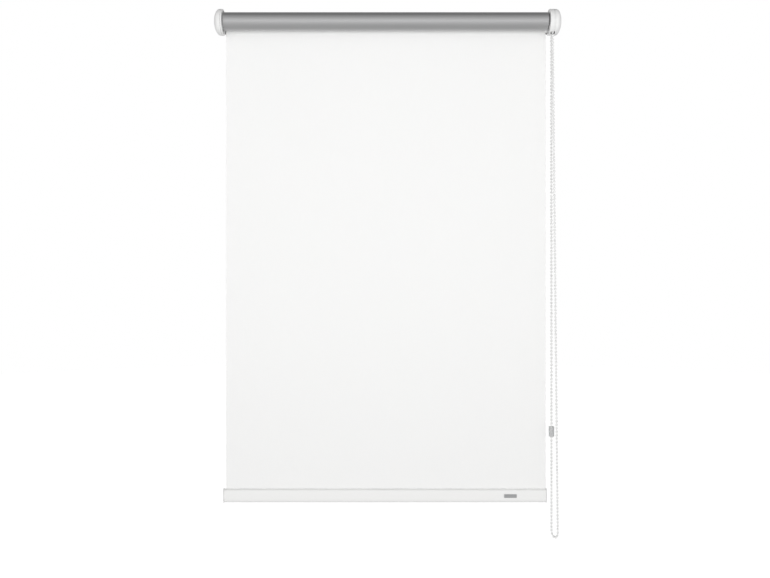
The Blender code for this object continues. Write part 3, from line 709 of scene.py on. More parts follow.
def wire_mesh(name: str, points: Sequence[Vector], radius: float, resolution: int) -> bpy.types.Mesh:
    """Run a round wire along a line of points.

    Args:
        name: The name of its curve.
        points: The line.
        radius: The wire's radius.
        resolution: How finely its round is divided.

    Returns:
        The wire as a mesh.
    """
    curve = bpy.data.curves.new(name, "CURVE")
    curve.dimensions, curve.bevel_depth, curve.bevel_resolution = "3D", radius, resolution
    curve.use_fill_caps = True
    spline = curve.splines.new("POLY")
    spline.points.add(len(points) - 1)
    for knot, point in zip(spline.points, points):
        knot.co = (*point, 1.0)
    line = bpy.data.objects.new(name, curve)
    bpy.context.collection.objects.link(line)
    mesh = bpy.data.meshes.new_from_object(line.evaluated_get(bpy.context.evaluated_depsgraph_get()))
    bpy.data.objects.remove(line)
    return mesh


def travel(joint_name: str) -> float:
    """How far a sliding joint of the frame moves from rest."""
    return next(joint for joint in frame["joints"] if joint["name"] == joint_name)["range_m"][1]


def cut(piece: bpy.types.Object, *tools: Shape) -> bpy.types.Object:
    """Cut shapes out of a piece.

    Args:
        piece: What is cut.
        *tools: The shapes that are taken away from it.

    Returns:
        The piece, with its mesh cut and shaded again.
    """
    made = [tool.outwards().piece(f"{piece.name}_cut", (), smooth=False) for tool in tools]
    for tool in made:
        modifier = piece.modifiers.new("Cut", "BOOLEAN")
        modifier.operation, modifier.solver, modifier.object = "DIFFERENCE", "EXACT", tool
    settle_modifiers(piece)
    for tool in made:
        bpy.data.objects.remove(tool)
    round_off(piece)
    return piece


def settle(piece: bpy.types.Object, body: str, slot: Slot, *stands_for: str) -> bpy.types.Object:
    """Give a finished piece its place in the frame.

    Args:
        piece: The finished piece.
        body: The body that it moves with.
        slot: The record's slot for its finish. Not used.
        *stands_for: The frame's nodes that it is shown for.

    Returns:
        The piece.
    """
    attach(piece, body)
    if stands_for:
        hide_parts(*stands_for)
    faces = sum(len(face.vertices) - 2 for face in piece.data.polygons)
    log.info("%-18s rides on %-10s %6d triangles", piece.name, body, faces)
    return piece


@dataclass(frozen=True)
class Round:
    """A round node of the frame: its ends along X, its radius and its middle."""

    start: float
    end: float
    radius: float
    centre: Vector

    @staticmethod
    def of(node: str) -> "Round":
        """Read a round node's sizes from the frame."""
        low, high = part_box(node)
        middle = (low + high) / 2
        return Round(low.x, high.x, (high.z - low.z) / 2, Vector((0.0, middle.y, middle.z)))

    def face(self, side: Side, outer: bool) -> float:
        """The X of its face away from the roller, or towards it."""
        return self.end if (side is Side.CHAIN) == outer else self.start


AXIS = Round.of("roller_tube").centre


# ---------------------------------------------------------------------------
# Studio
# ---------------------------------------------------------------------------


# How bright the sky is at each height above level, in degrees.
SKY = (
    (-90, 0.46), (-50, 0.54), (-30, 0.66), (-12, 0.85), (0, 0.80), (12, 0.68), (28, 0.53), (57, 0.32),
    (90, 0.12),
)


@dataclass
class Studio:
    """Camera, soft light and a pale floor."""

    distance: float = 1.400
    eye_height: float = -0.4638
    aside: float = -0.0015
    lens: float = 37.777
    floor_height: float = -1.06
    floor_size: float = 5.0
    floor_glow: float = 0.68

    def place_camera(self) -> None:
        """Stand the camera straight in front, level, half-way down the blind."""
        camera = bpy.data.objects.new("camera", bpy.data.cameras.new("camera"))
        bpy.context.collection.objects.link(camera)
        camera.data.lens = self.lens
        camera.data.sensor_width = 36.0
        camera.data.clip_start, camera.data.clip_end = 0.05, 60.0
        camera.location = (self.aside, AXIS.y - self.distance, self.eye_height)
        camera.rotation_euler = (math.pi / 2, 0.0, 0.0)
        bpy.context.scene.camera = camera

    def light(self) -> None:
        """Surround the blind with a soft sky, white where the camera sees it, and hang two softboxes."""
        bpy.context.scene.view_settings.view_transform = "Standard"
        world = bpy.data.worlds.new("studio")
        bpy.context.scene.world = world
        graph = Graph(world)
        where = graph.node("ShaderNodeTexCoord").outputs["Generated"]
        height = graph.node("ShaderNodeSeparateXYZ", None, {0: where}).outputs[2]
        place = graph.value("ShaderNodeMapRange", None, {"Value": height, "From Min": -1.0})
        peak = max(level for _, level in SKY)
        stops = [(0.5 + 0.5 * math.sin(math.radians(up)), (level / peak,) * 3) for up, level in SKY]
        ramp = graph.node("ShaderNodeValToRGB", {"stops": stops}, {0: place})
        ramp.color_ramp.interpolation = "EASE"
        sky = graph.node("ShaderNodeBackground", None, {"Color": ramp.outputs[0], "Strength": peak})
        backdrop = graph.node("ShaderNodeBackground", None, {"Color": (1.0, 1.0, 1.0)})
        seen = graph.node("ShaderNodeLightPath").outputs["Is Camera Ray"]
        both = graph.node("ShaderNodeMixShader", None, {0: seen, 1: sky.outputs[0], 2: backdrop.outputs[0]})
        graph.node("ShaderNodeOutputWorld", None, {"Surface": both.outputs[0]})

        self.hang_softbox("softbox_high", (2.4, 0.9), 22.4, Vector((0.0, -2.2, -0.28)), 0.0, 180.0)
        self.hang_softbox("softbox_low", (2.0, 0.4), 0.8, Vector((0.0, -1.8, -1.0)), 28.0, 70.0)

    @staticmethod
    def hang_softbox(
        name: str, size: tuple[float, float], power: float, place: Vector, tilt: float, spread: float
    ) -> None:
        """Hang a softbox that faces the blind and isn't mirrored in it.

        Args:
            name: The lamp's name.
            size: Its width and height in metres.
            power: Its power in watts.
            place: Where its middle is.
            tilt: How far it faces up from level, in degrees.
            spread: The angle of its light, in degrees.
        """
        box = bpy.data.lights.new(name, "AREA")
        box.shape, (box.size, box.size_y), box.energy = "RECTANGLE", size, power
        box.spread = math.radians(spread)
        lamp = bpy.data.objects.new(name, box)
        bpy.context.collection.objects.link(lamp)
        lamp.location = place
        lamp.rotation_euler = (math.radians(90 + tilt), 0.0, 0.0)
        lamp.visible_camera = lamp.visible_glossy = False

    def lay_floor(self) -> None:
        """Lay a pale round floor well below the chain, with enough glow of its own to stay white."""
        shape = Shape()
        bmesh.ops.create_circle(
            shape.bm, cap_ends=True, segments=64, radius=self.floor_size,
            matrix=Matrix.Translation((0.0, 0.0, self.floor_height)),
        )
        graph = Graph.of_material("studio_floor")
        tone = graph.noise((1.5, 1.5, 1.5), 2.0)
        graph.surface(
            Base_Color=graph.tint(tone, (0.84, 0.84, 0.84), (0.87, 0.87, 0.87)),
            Roughness=0.9,
            Emission_Color=(1.0, 1.0, 1.0),
            Emission_Strength=self.floor_glow,
        )
        floor = shape.piece("floor", (), smooth=False)
        floor.data.materials.append(graph.owner)
        floor.visible_diffuse = floor.visible_glossy = False


# ---------------------------------------------------------------------------
# Chain and connector
# ---------------------------------------------------------------------------


@dataclass
class ChainRoute:
    """The endless chain's line, from the wheel's top down the front, round below and up the back."""

    wheel_x: float = 0.2878
    pitch_radius: float = 14.429 * MM
    exit_out: float = 6.0 * MM
    exit_drop: float = 24.0 * MM
    exit_bend: float = 12.0 * MM
    loop_bottom: float = 0.8937
    loop_radius: float = 8.86 * MM
    loop_shift: float = 4.55 * MM
    loop_turn: float = math.radians(25)
    parting: float = 0.45 * MM

    @property
    def lean(self) -> float:
        """How far the strands lean in between the wheel and the housing's slots."""
        away, drop = self.exit_out + self.exit_bend, self.exit_drop
        radii = self.pitch_radius + self.exit_bend
        return math.atan2(drop, away) - math.acos(radii / math.hypot(drop, away))

    def on_wheel(self, angle: float, facing: int) -> Vector:
        """The point on the wheel at an angle up from the wall's side, or from the room's."""
        ring = Vector((0.0, facing * math.cos(angle), math.sin(angle))) * self.pitch_radius
        return AXIS + ring + X_AXIS * self.wheel_x

    def at_exit(self, angle: float, facing: int) -> Vector:
        """The point on the bend where a strand, leaning at an angle, straightens down to hang free."""
        away = self.exit_out + self.exit_bend * (1 - math.cos(angle))
        height = self.exit_bend * math.sin(angle) - self.exit_drop
        return AXIS + Vector((self.wheel_x, facing * away, height))

    def half_top(self, facing: int) -> list[Vector]:
        """The route from the wheel's top down one side until it hangs free."""
        start = math.pi / 2 - self.parting / self.pitch_radius / 2
        sweep = start + self.lean
        wheel = [self.on_wheel(start - sweep * i / 16, facing) for i in range(17)]
        return wheel + [self.at_exit(self.lean * (1 - i / 6), facing) for i in range(7)]

    def points(self) -> list[Vector]:
        """Every point of the route, close enough together to measure along."""
        middle = Vector((self.wheel_x + self.loop_shift, AXIS.y, -self.loop_bottom + self.loop_radius))
        side = Vector((math.sin(self.loop_turn), -math.cos(self.loop_turn), 0.0)) * self.loop_radius
        front, back = self.half_top(-1), self.half_top(1)
        angles = [math.pi * i / 20 for i in range(21)]
        bend = [
            middle + side * math.cos(angle) - Z_AXIS * self.loop_radius * math.sin(angle)
            for angle in angles
        ]
        down = [front[-1].lerp(middle + side, i / 60) for i in range(1, 60)]
        up = [(middle - side).lerp(back[-1], i / 60) for i in range(1, 60)]
        return front + down + bend + up + back[::-1]


@dataclass
class BeadChain:
    """Round beads moulded on a thin cord at an even pitch."""

    route: ChainRoute
    bead_radius: float = 2.25 * MM
    bead_pitch: float = 6.0 * MM
    cord_radius: float = 0.65 * MM
    sides: int = 8
    bands: int = 6
    shade_step: float = 0.618034

    def build(self, finishes: Finishes) -> bpy.types.Object:
        """Thread the beads on their cord and hang the chain from its wheel.

        Args:
            finishes: The blind's finishes.

        Returns:
            The chain as one piece.
        """
        points = self.route.points()
        runs = [(b - a).length for a, b in zip(points, points[1:])]
        length = sum(runs)
        shape = Shape()
        shape.bm.from_mesh(wire_mesh("cord", points, self.cord_radius, 0))
        own = shape.bm.verts.layers.float.new("bead")
        count = round(length / self.bead_pitch)
        for i in range(count):
            place = Matrix.Translation(self.along(points, runs, (i + 0.5) * length / count))
            made = bmesh.ops.create_uvsphere(
                shape.bm, u_segments=self.sides, v_segments=self.bands, radius=self.bead_radius,
                matrix=place,
            )
            for vert in made["verts"]:
                vert[own] = (i * self.shade_step) % 1.0
        chain = shape.piece("chain", (finishes.beads,))
        chain.data.shade_smooth()
        settle(chain, "frame", Slot.CHAIN, "bead_chain")
        tuple(self.route.on_wheel(-self.route.lean, -1))
        [tuple(point) for point in points]
        log.info("chain of %d beads, %.3f m along its middle", count, length)
        return chain

    @staticmethod
    def along(points: list[Vector], runs: list[float], distance: float) -> Vector:
        """The point at a distance along a line of points."""
        for start, end, run in zip(points, points[1:], runs):
            if distance <= run:
                return start.lerp(end, distance / run)
            distance -= run
        return points[-1]


@dataclass
class Connector:
    """Two snap-together shells that join the chain's ends."""

    corner: float = 1.6 * MM
    lip: float = 0.5 * MM
    bore: float = 2.5 * MM

    def build(self, finishes: Finishes) -> None:
        """Make the front and back shells in the space of the frame's own."""
        for half in ("front", "back"):
            low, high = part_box(f"connector_{half}")
            shape = Shape().block(low, high)
            outer = low.y if half == "front" else high.y
            shape.ease(
                self.corner, lambda e: runs_along(e, Z_AXIS) and abs(e.verts[0].co.y - outer) < TOUCH, 5
            )
            shape.ease_corners(self.lip, 3)
            shell = shape.piece(f"connector_shell_{half}", (finishes.smoked,))
            inner = high.y if half == "front" else low.y
            middle = Vector(((low.x + high.x) / 2, inner, 0.0))
            bottom = middle + Z_AXIS * (low.z - CLEARANCE)
            top = middle + Z_AXIS * (high.z + CLEARANCE)
            cut(shell, Shape().rod(bottom, top, self.bore, sides=32))
            settle(shell, "connector", Slot.CONNECTOR, f"connector_{half}")


# ---------------------------------------------------------------------------
# Cloth
# ---------------------------------------------------------------------------


@dataclass
class HangingCloth:
    """The cloth from the roller down into the bottom rail, white towards the room and silver behind."""

    columns: int = 72
    rows: int = 108
    wrap: float = math.radians(75)
    wrap_rows: int = 16
    ripple: float = 0.45 * MM

    def build(self, finishes: Finishes) -> None:
        """Hang the cloth, and lay the stretch above it over the roller's back.

        Args:
            finishes: The blind's finishes.
        """
        low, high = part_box("fabric_drop")
        thickness, width, drop = high.y - low.y, high.x - low.x, -low.z
        centre = (low.y + high.y) / 2
        hang_radius = centre - AXIS.y
        buried = Round.of("fabric_roll").radius - 1.1 * thickness

        def hung(x: float, share: float) -> Vector:
            return Vector((x, centre + self.sway(x, share), -drop * share))

        def wrapped(x: float, share: float) -> Vector:
            back = 1 - share
            radius = hang_radius + (buried - hang_radius) * back * back * (3 - 2 * back)
            return RollOfCloth.ring(back * self.wrap, radius) + X_AXIS * x

        cloth = self.cloth("hanging_cloth", self.rows, hung, width, thickness, finishes)
        settle(cloth, "frame", Slot.CLOTH, "fabric_drop")
        lift = travel("bar_lift")
        1 - lift / drop
        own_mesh(cloth)

        lead = self.cloth("cloth_lead", self.wrap_rows, wrapped, width, thickness, finishes)
        settle(lead, "frame", Slot.CLOTH)

    def cloth(
        self, name: str, rows: int, place: Callable[[float, float], Vector], width: float,
        thickness: float, finishes: Finishes,
    ) -> bpy.types.Object:
        """Weave one stretch of the cloth.

        Args:
            name: The piece's name.
            rows: How many rows of faces it has.
            place: Gives the point at an X and at a share of the way down.
            width: Its width.
            thickness: Its thickness.
            finishes: The blind's finishes.

        Returns:
            The stretch, white on the face that looks into the room.
        """
        shape = Shape()
        bmesh.ops.create_grid(shape.bm, x_segments=self.columns, y_segments=rows, size=0.5)
        for vert in shape.bm.verts:
            vert.co = place(vert.co.x * width, 0.5 - vert.co.y)
        made = shape.outwards().piece(name, (finishes.cloth, finishes.silver))
        if made.data.polygons[len(made.data.polygons) // 2].normal.y > 0:
            made.data.flip_normals()
        thicken(made, thickness, lining=1, even=True)
        settle_modifiers(made)
        round_off(made)
        made.visible_glossy = False
        return made

    def sway(self, x: float, share: float) -> float:
        """How far the cloth swings from its plane, least at the roller and at the rail."""
        held = math.sin(math.pi * min(1.0, share * 1.02)) ** 0.5 if 0 < share < 0.98 else 0.0
        long_wave = math.sin(2 * math.pi * (x * 3.1 + 0.2 * math.sin(5 * share) + 0.15))
        slow_wave = math.sin(2 * math.pi * (x * 1.3 - share * 0.6 + 0.4))
        return self.ripple * held * (0.6 * long_wave + 0.4 * slow_wave)


@dataclass
class RollOfCloth:
    """The turns of cloth that stay wound on the tube, silver side out."""

    turns: float = 1.5
    steps_per_turn: int = 96
    columns: int = 6

    def build(self, finishes: Finishes) -> bpy.types.Object:
        """Wind the cloth in an even spiral.

        Args:
            finishes: The blind's finishes.

        Returns:
            The roll as one piece.
        """
        low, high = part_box("fabric_roll")
        thin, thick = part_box("fabric_drop")
        thickness = 0.95 * (thick.y - thin.y)
        outer = (high.z - low.z) / 2 - thickness / 2
        inner = Round.of("roller_tube").radius + CLEARANCE / 2 + thickness / 2
        steps = round(self.turns * self.steps_per_turn)
        shape = Shape()
        along = shape.bm.verts.layers.float.new("along")
        start = -2 * math.pi * self.turns
        first = self.ring(start, inner)
        columns = [low.x + (high.x - low.x) * i / self.columns for i in range(self.columns + 1)]
        points = [shape.bm.verts.new((x, first.y, first.z)) for x in columns]
        edges = [shape.bm.edges.new(pair) for pair in zip(points, points[1:])]
        wound, radius = 0.0, inner
        for step in range(1, steps + 1):
            points, edges = shape.draw_out(edges)
            angle = start + 2 * math.pi * self.turns * step / steps
            wound += 2 * math.pi * self.turns / steps * radius
            radius = inner + (outer - inner) * step / steps
            place = self.ring(angle, radius)
            for vert in points:
                vert.co.y, vert.co.z, vert[along] = place.y, place.z, wound
        roll = shape.piece("roll_of_cloth", (finishes.wound, finishes.cloth))
        face = roll.data.polygons[len(roll.data.polygons) // 2]
        if face.normal.dot(face.center - AXIS - X_AXIS * face.center.x) < 0:
            roll.data.flip_normals()
        thicken(roll, thickness, lining=1)
        settle_modifiers(roll)
        round_off(roll)
        settle(roll, "roller", Slot.SILVER, "fabric_roll")
        return roll

    @staticmethod
    def ring(angle: float, radius: float) -> Vector:
        """A point round the roller's axis, from the wall's side up."""
        return AXIS + Vector((0.0, math.cos(angle), math.sin(angle))) * radius


# ---------------------------------------------------------------------------
# Ends
# ---------------------------------------------------------------------------

RING_DEPTH = 0.35 * MM
RING_INSIDE = 12.0 * MM
RING_OUTSIDE = 18.6 * MM


def sunk_ring(face: float, into: int) -> list[tuple[float, float]]:
    """The shallow ring sunk in a moulding's face towards the roller.

    Args:
        face: The X of the face.
        into: Which way along X the moulding lies behind it.

    Returns:
        Its outline from the inside out, as (x, radius) points.
    """
    floor = face + into * RING_DEPTH
    return [
        (face, RING_INSIDE), (floor, RING_INSIDE + RING_DEPTH), (floor, RING_OUTSIDE - RING_DEPTH),
        (face, RING_OUTSIDE),
    ]


@dataclass
class EndCover:
    """Domed snap-on cover over a bracket, with a skirt that reaches back round the bracket's plate."""

    side: Side
    name: str
    wall: float = 1.4 * MM
    band: float = 0.6 * MM
    skirt_gap: float = 0.25 * MM
    groove: float = 0.3 * MM
    strap: float = 12.8 * MM
    thin: float = 0.9 * MM
    lap_gap: float = 1.1 * MM
    eased: float = 0.25 * MM
    curve_steps: int = 20

    def build(self, finishes: Finishes) -> bpy.types.Object:
        """Turn the dome and its skirt, and notch the skirt where the bracket runs to the wall.

        Args:
            finishes: The blind's finishes.

        Returns:
            The cover as one piece.
        """
        cover = Round.of(self.name)
        out = self.side.value
        rim = cover.face(self.side, outer=False)
        tip = cover.face(self.side, outer=True)
        skirt = self.skirt_end()
        shoulder = rim + out * self.band
        reach = abs(tip - shoulder)
        outer, inner = cover.radius, cover.radius - self.wall
        dome = self.quarter(shoulder, reach, outer)
        hollow = self.quarter(shoulder, reach - self.wall, inner)
        bottom, lip = shoulder - out * self.groove, shoulder - out * 2.2 * self.groove
        profile = dome[::-1] + [(bottom, outer - self.groove), (lip, outer)]
        housing = ChainHousing()
        if self.side is Side.CHAIN:
            end = housing.lap_start() + self.lap_gap
            profile += [(end, outer), (end, outer - self.thin), (skirt, outer - self.thin)]
        else:
            end = skirt
            profile += [(skirt, outer)]
        profile += [(skirt, inner), *hollow]
        shape = Shape().lathe(profile, cover.centre)
        shape.ease(self.eased, sharp_at(end), 3)
        piece = shape.piece(f"{self.name}_shell", (finishes.white,))
        notch = sorted((end - out * MM, rim))
        low = Vector((notch[0], cover.centre.y, cover.centre.z - self.strap))
        high = Vector((notch[1], 0.0, cover.centre.z + self.strap))
        tools = [Shape().block(low, high)]
        if self.side is Side.CHAIN:
            tools += housing.slots(end - MM, skirt)
        cut(piece, *tools)
        return settle(piece, "frame", Slot.WHITE_PLASTIC, self.name)

    def skirt_end(self) -> float:
        """The X where the skirt ends, just short of the moulding on the roller's side of the plate."""
        if self.side is Side.IDLE:
            return Round.of("idle_socket").start - self.skirt_gap
        return Round.of("chain_housing").end + self.skirt_gap

    def quarter(self, start: float, reach: float, radius: float) -> list[tuple[float, float]]:
        """A quarter of an ellipse from the band out to the tip, as (x, radius) points."""
        angles = [math.pi / 2 * i / self.curve_steps for i in range(self.curve_steps)]
        curve = [(start + self.side.value * reach * math.sin(a), radius * math.cos(a)) for a in angles]
        return [*curve, (start + self.side.value * reach, 0.0)]


@dataclass
class Bracket:
    """Bent steel plate beside the roller, with a flange on the wall and two countersunk screw holes."""

    side: Side
    name: str
    shaft_hole: float
    rivet_circle: float
    metal: float = 1.5 * MM
    bend: float = 1.0 * MM
    eased: float = 0.2 * MM
    plate_radius: float = 20.6 * MM
    flange_corner: float = 2.5 * MM
    rivet_hole: float = 1.4 * MM
    screw_hole: float = 2.2 * MM
    countersink: float = 3.7 * MM
    screw_spacing: float = 14.0 * MM
    strap_half: float = 12.5 * MM

    def build(self, finishes: Finishes) -> bpy.types.Object:
        """Cut the plate out of a disc, fold its flange, thicken it and drill it.

        Args:
            finishes: The blind's finishes.

        Returns:
            The bracket as one piece.
        """
        low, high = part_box(self.name)
        middle_z = (low.z + high.z) / 2
        out = self.side.value
        outer = high.x if self.side is Side.CHAIN else low.x
        flange_end = low.x if self.side is Side.CHAIN else high.x
        metal = self.metal
        plate_x = outer - out * metal / 2
        disc = Vector((plate_x, AXIS.y, middle_z))
        chord = disc.y + math.sqrt(self.plate_radius**2 - self.strap_half**2)

        shape = Shape()
        place = Matrix.Translation(disc) @ Matrix.Rotation(math.pi / 2, 4, "Y")
        bmesh.ops.create_circle(
            shape.bm, cap_ends=True, segments=120, radius=self.plate_radius, matrix=place
        )
        parts = shape.bm.verts[:] + shape.bm.edges[:] + shape.bm.faces[:]
        bmesh.ops.bisect_plane(
            shape.bm, geom=parts, dist=1e-7, plane_co=(0, chord, 0), plane_no=(0, 1, 0), clear_outer=True
        )
        edge = [e for e in shape.bm.edges if all(abs(v.co.y - chord) < TOUCH for v in e.verts)]
        radius = self.bend + metal / 2
        fold = Vector((plate_x - out * radius, -metal / 2 - radius, 0.0))
        edge = self.draw(shape, edge, Vector((0.0, fold.y - chord, 0.0)))
        turned = bmesh.ops.spin(
            shape.bm, geom=edge + list({v for e in edge for v in e.verts}), cent=fold, axis=Z_AXIS,
            dvec=(0, 0, 0), angle=out * math.pi / 2, steps=8, use_merge=False, use_normal_flip=False,
            use_duplicate=False,
        )["geom_last"]
        edge = [item for item in turned if isinstance(item, bmesh.types.BMEdge)]
        edge = self.draw(shape, edge, Vector((flange_end - fold.x, 0.0, 0.0)))
        corners = list({v for e in edge for v in e.verts})
        bmesh.ops.bevel(
            shape.bm, geom=corners, offset=self.flange_corner, affect="VERTICES", segments=6, profile=0.5,
            material=-1,
        )
        shape.outwards()
        bracket = shape.piece(self.name.replace("bracket", "bent_bracket"), (finishes.zinc,))
        thicken(bracket, metal)
        eased = bracket.modifiers.new("Eased", "BEVEL")
        eased.width, eased.segments = self.eased, 2
        eased.limit_method, eased.angle_limit = "ANGLE", math.radians(60)
        settle_modifiers(bracket)

        reach = X_AXIS * metal
        tools = [self.drill(plate_x, AXIS.z, self.shaft_hole, reach)]
        for z in (-self.rivet_circle, self.rivet_circle):
            tools.append(self.drill(plate_x, AXIS.z + z, self.rivet_hole, reach))
        screw_x = (outer - out * metal + flange_end) / 2
        for z in (-self.screw_spacing / 2, self.screw_spacing / 2):
            tools += self.screw_cutters(Vector((screw_x, -metal, middle_z + z)))
        cut(bracket, *tools)
        return settle(bracket, "frame", Slot.ZINC, self.name)

    def screw_cutters(self, front: Vector) -> list[Shape]:
        """A bar and a cone that cut one countersunk hole, from its middle on the flange's front."""
        before = 0.2 * MM
        back = front + Y_AXIS * 2 * self.metal
        start = front - Y_AXIS * before
        end = start + Y_AXIS * (self.countersink - self.screw_hole + before)
        return [
            Shape().rod(front - Y_AXIS * self.metal, back, self.screw_hole, sides=40),
            Shape().rod(start, end, self.countersink + before, self.screw_hole - 0.05 * MM, sides=40),
        ]

    @staticmethod
    def draw(shape: Shape, edges: list[bmesh.types.BMEdge], run: Vector) -> list[bmesh.types.BMEdge]:
        """Draw edges out into flat metal and give the new edges."""
        points, grown = shape.draw_out(edges)
        bmesh.ops.translate(shape.bm, vec=run, verts=points)
        return grown

    @staticmethod
    def drill(x: float, z: float, radius: float, reach: Vector) -> Shape:
        """A bar through the plate, to cut a hole with."""
        middle = Vector((x, AXIS.y, z))
        return Shape().rod(middle - reach, middle + reach, radius, sides=48)


@dataclass
class IdleEnd:
    """Socket that carries the idle pin's bush, and the spring behind the pin."""

    edge: float = 0.5 * MM
    bore: float = 5.3 * MM
    bush: float = 7.5 * MM
    recess: float = 1.0 * MM
    rivet_circle: float = 16.5 * MM
    rivet_hole: float = 1.4 * MM
    wire: float = 0.3 * MM
    spring_turns: float = 6.5
    steps_per_turn: int = 20

    def build(self, finishes: Finishes) -> None:
        """Make the socket and the spring.

        Args:
            finishes: The blind's finishes.
        """
        self.build_socket(finishes)
        self.build_spring(finishes)

    def build_socket(self, finishes: Finishes) -> None:
        """Turn the socket, with a recess for the bush's flange, and drill it."""
        socket = Round.of("idle_socket")
        inner, outer = socket.end, socket.start
        bottom = inner - self.recess
        profile = [
            (bottom, 0.0), (bottom, self.bush), (inner, self.bush), *sunk_ring(inner, -1),
            (inner, socket.radius), (outer, socket.radius), (outer, 0.0),
        ]
        shape = Shape().lathe(profile, socket.centre)
        shape.ease(self.edge, lambda e: is_sharp(e) and all(self.at_rim(v, socket) for v in e.verts), 4)
        piece = shape.piece("idle_socket_disc", (finishes.white,))
        reach = X_AXIS * 6 * MM
        tools = [Bracket.drill(outer, AXIS.z, self.bore, reach)]
        for z in (-self.rivet_circle, self.rivet_circle):
            tools.append(Bracket.drill(outer, AXIS.z + z, self.rivet_hole, reach))
        settle(cut(piece, *tools), "frame", Slot.WHITE_PLASTIC, "idle_socket")

    @staticmethod
    def at_rim(vert: bmesh.types.BMVert, disc: Round) -> bool:
        """Whether a point is on a disc's outer rim."""
        away = vert.co - disc.centre
        return math.hypot(away.y, away.z) > disc.radius - TOUCH

    def build_spring(self, finishes: Finishes) -> None:
        """Wind the spring that pushes the idle pin out, at its full length."""
        low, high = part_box("idle_spring")
        radius = (high.z - low.z) / 2 - self.wire
        steps = round(self.spring_turns * self.steps_per_turn)
        points = []
        for i in range(steps + 1):
            angle = 2 * math.pi * self.spring_turns * i / steps
            x = low.x + self.wire + (high.x - low.x - 2 * self.wire) * i / steps
            points.append(RollOfCloth.ring(angle, radius) + X_AXIS * x)
        shape = Shape()
        shape.bm.from_mesh(wire_mesh("spring_wire", points, self.wire, 2))
        spring = shape.outwards().piece("idle_pin_spring", (finishes.spring,))
        settle(spring, "roller", Slot.STEEL, "idle_spring")
        press = travel("idle_pin_press")
        keep = 1 - press / (high.x - low.x)
        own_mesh(spring)


@dataclass
class ChainHousing:
    """Cup round the chain wheel, open to the bracket, with two slots below that let the chain out.

    The end cover's skirt laps over a step in the cup's wall.
    """

    edge: float = 0.6 * MM
    step: float = 1.0 * MM
    wall: float = 1.4 * MM
    bore: float = 9.5 * MM
    lap: float = 2.15 * MM
    eased: float = 0.2 * MM
    slot_width: float = 7.8 * MM
    slot_out: float = 6.9 * MM

    def build(self, finishes: Finishes) -> bpy.types.Object:
        """Turn the cup and cut its slots.

        Args:
            finishes: The blind's finishes.

        Returns:
            The housing as one piece.
        """
        cup = Round.of("chain_housing")
        floor = cup.start + self.wall
        profile = [
            (cup.start, self.bore), *sunk_ring(cup.start, 1), (cup.start, cup.radius),
            (self.lap_start(), cup.radius), (self.lap_start(), cup.radius - self.step),
            (cup.end, cup.radius - self.step), (cup.end, cup.radius - self.wall),
            (floor, cup.radius - self.wall), (floor, self.bore),
        ]
        shape = Shape().lathe(profile, cup.centre)
        shape.ease(self.edge, lambda e: is_sharp(e) and all(self.on_front_rim(v, cup) for v in e.verts), 4)
        shape.ease(self.eased, sharp_at(cup.end), 2)
        piece = shape.piece("chain_cup", (finishes.white,))
        tools = self.slots(floor + CLEARANCE, cup.end + MM)
        return settle(cut(piece, *tools), "frame", Slot.WHITE_PLASTIC, "chain_housing")

    def lap_start(self) -> float:
        """The X where the cup's wall steps in under the end cover's skirt."""
        return Round.of("chain_housing").end - self.lap

    def slots(self, start: float, end: float) -> list[Shape]:
        """Cutters for the two slots that the chain leaves by, between two places along X."""
        half, radius = self.slot_width / 2, Round.of("chain_housing").radius
        return [
            Shape().block(
                Vector((start, middle - half, -1.5 * radius)), Vector((end, middle + half, -radius / 3))
            )
            for middle in (AXIS.y - self.slot_out, AXIS.y + self.slot_out)
        ]

    @staticmethod
    def on_front_rim(vert: bmesh.types.BMVert, cup: Round) -> bool:
        """Whether a point is on the cup's rim towards the roller."""
        return abs(vert.co.x - cup.start) < TOUCH and IdleEnd.at_rim(vert, cup)


# ---------------------------------------------------------------------------
# Bottom rail
# ---------------------------------------------------------------------------


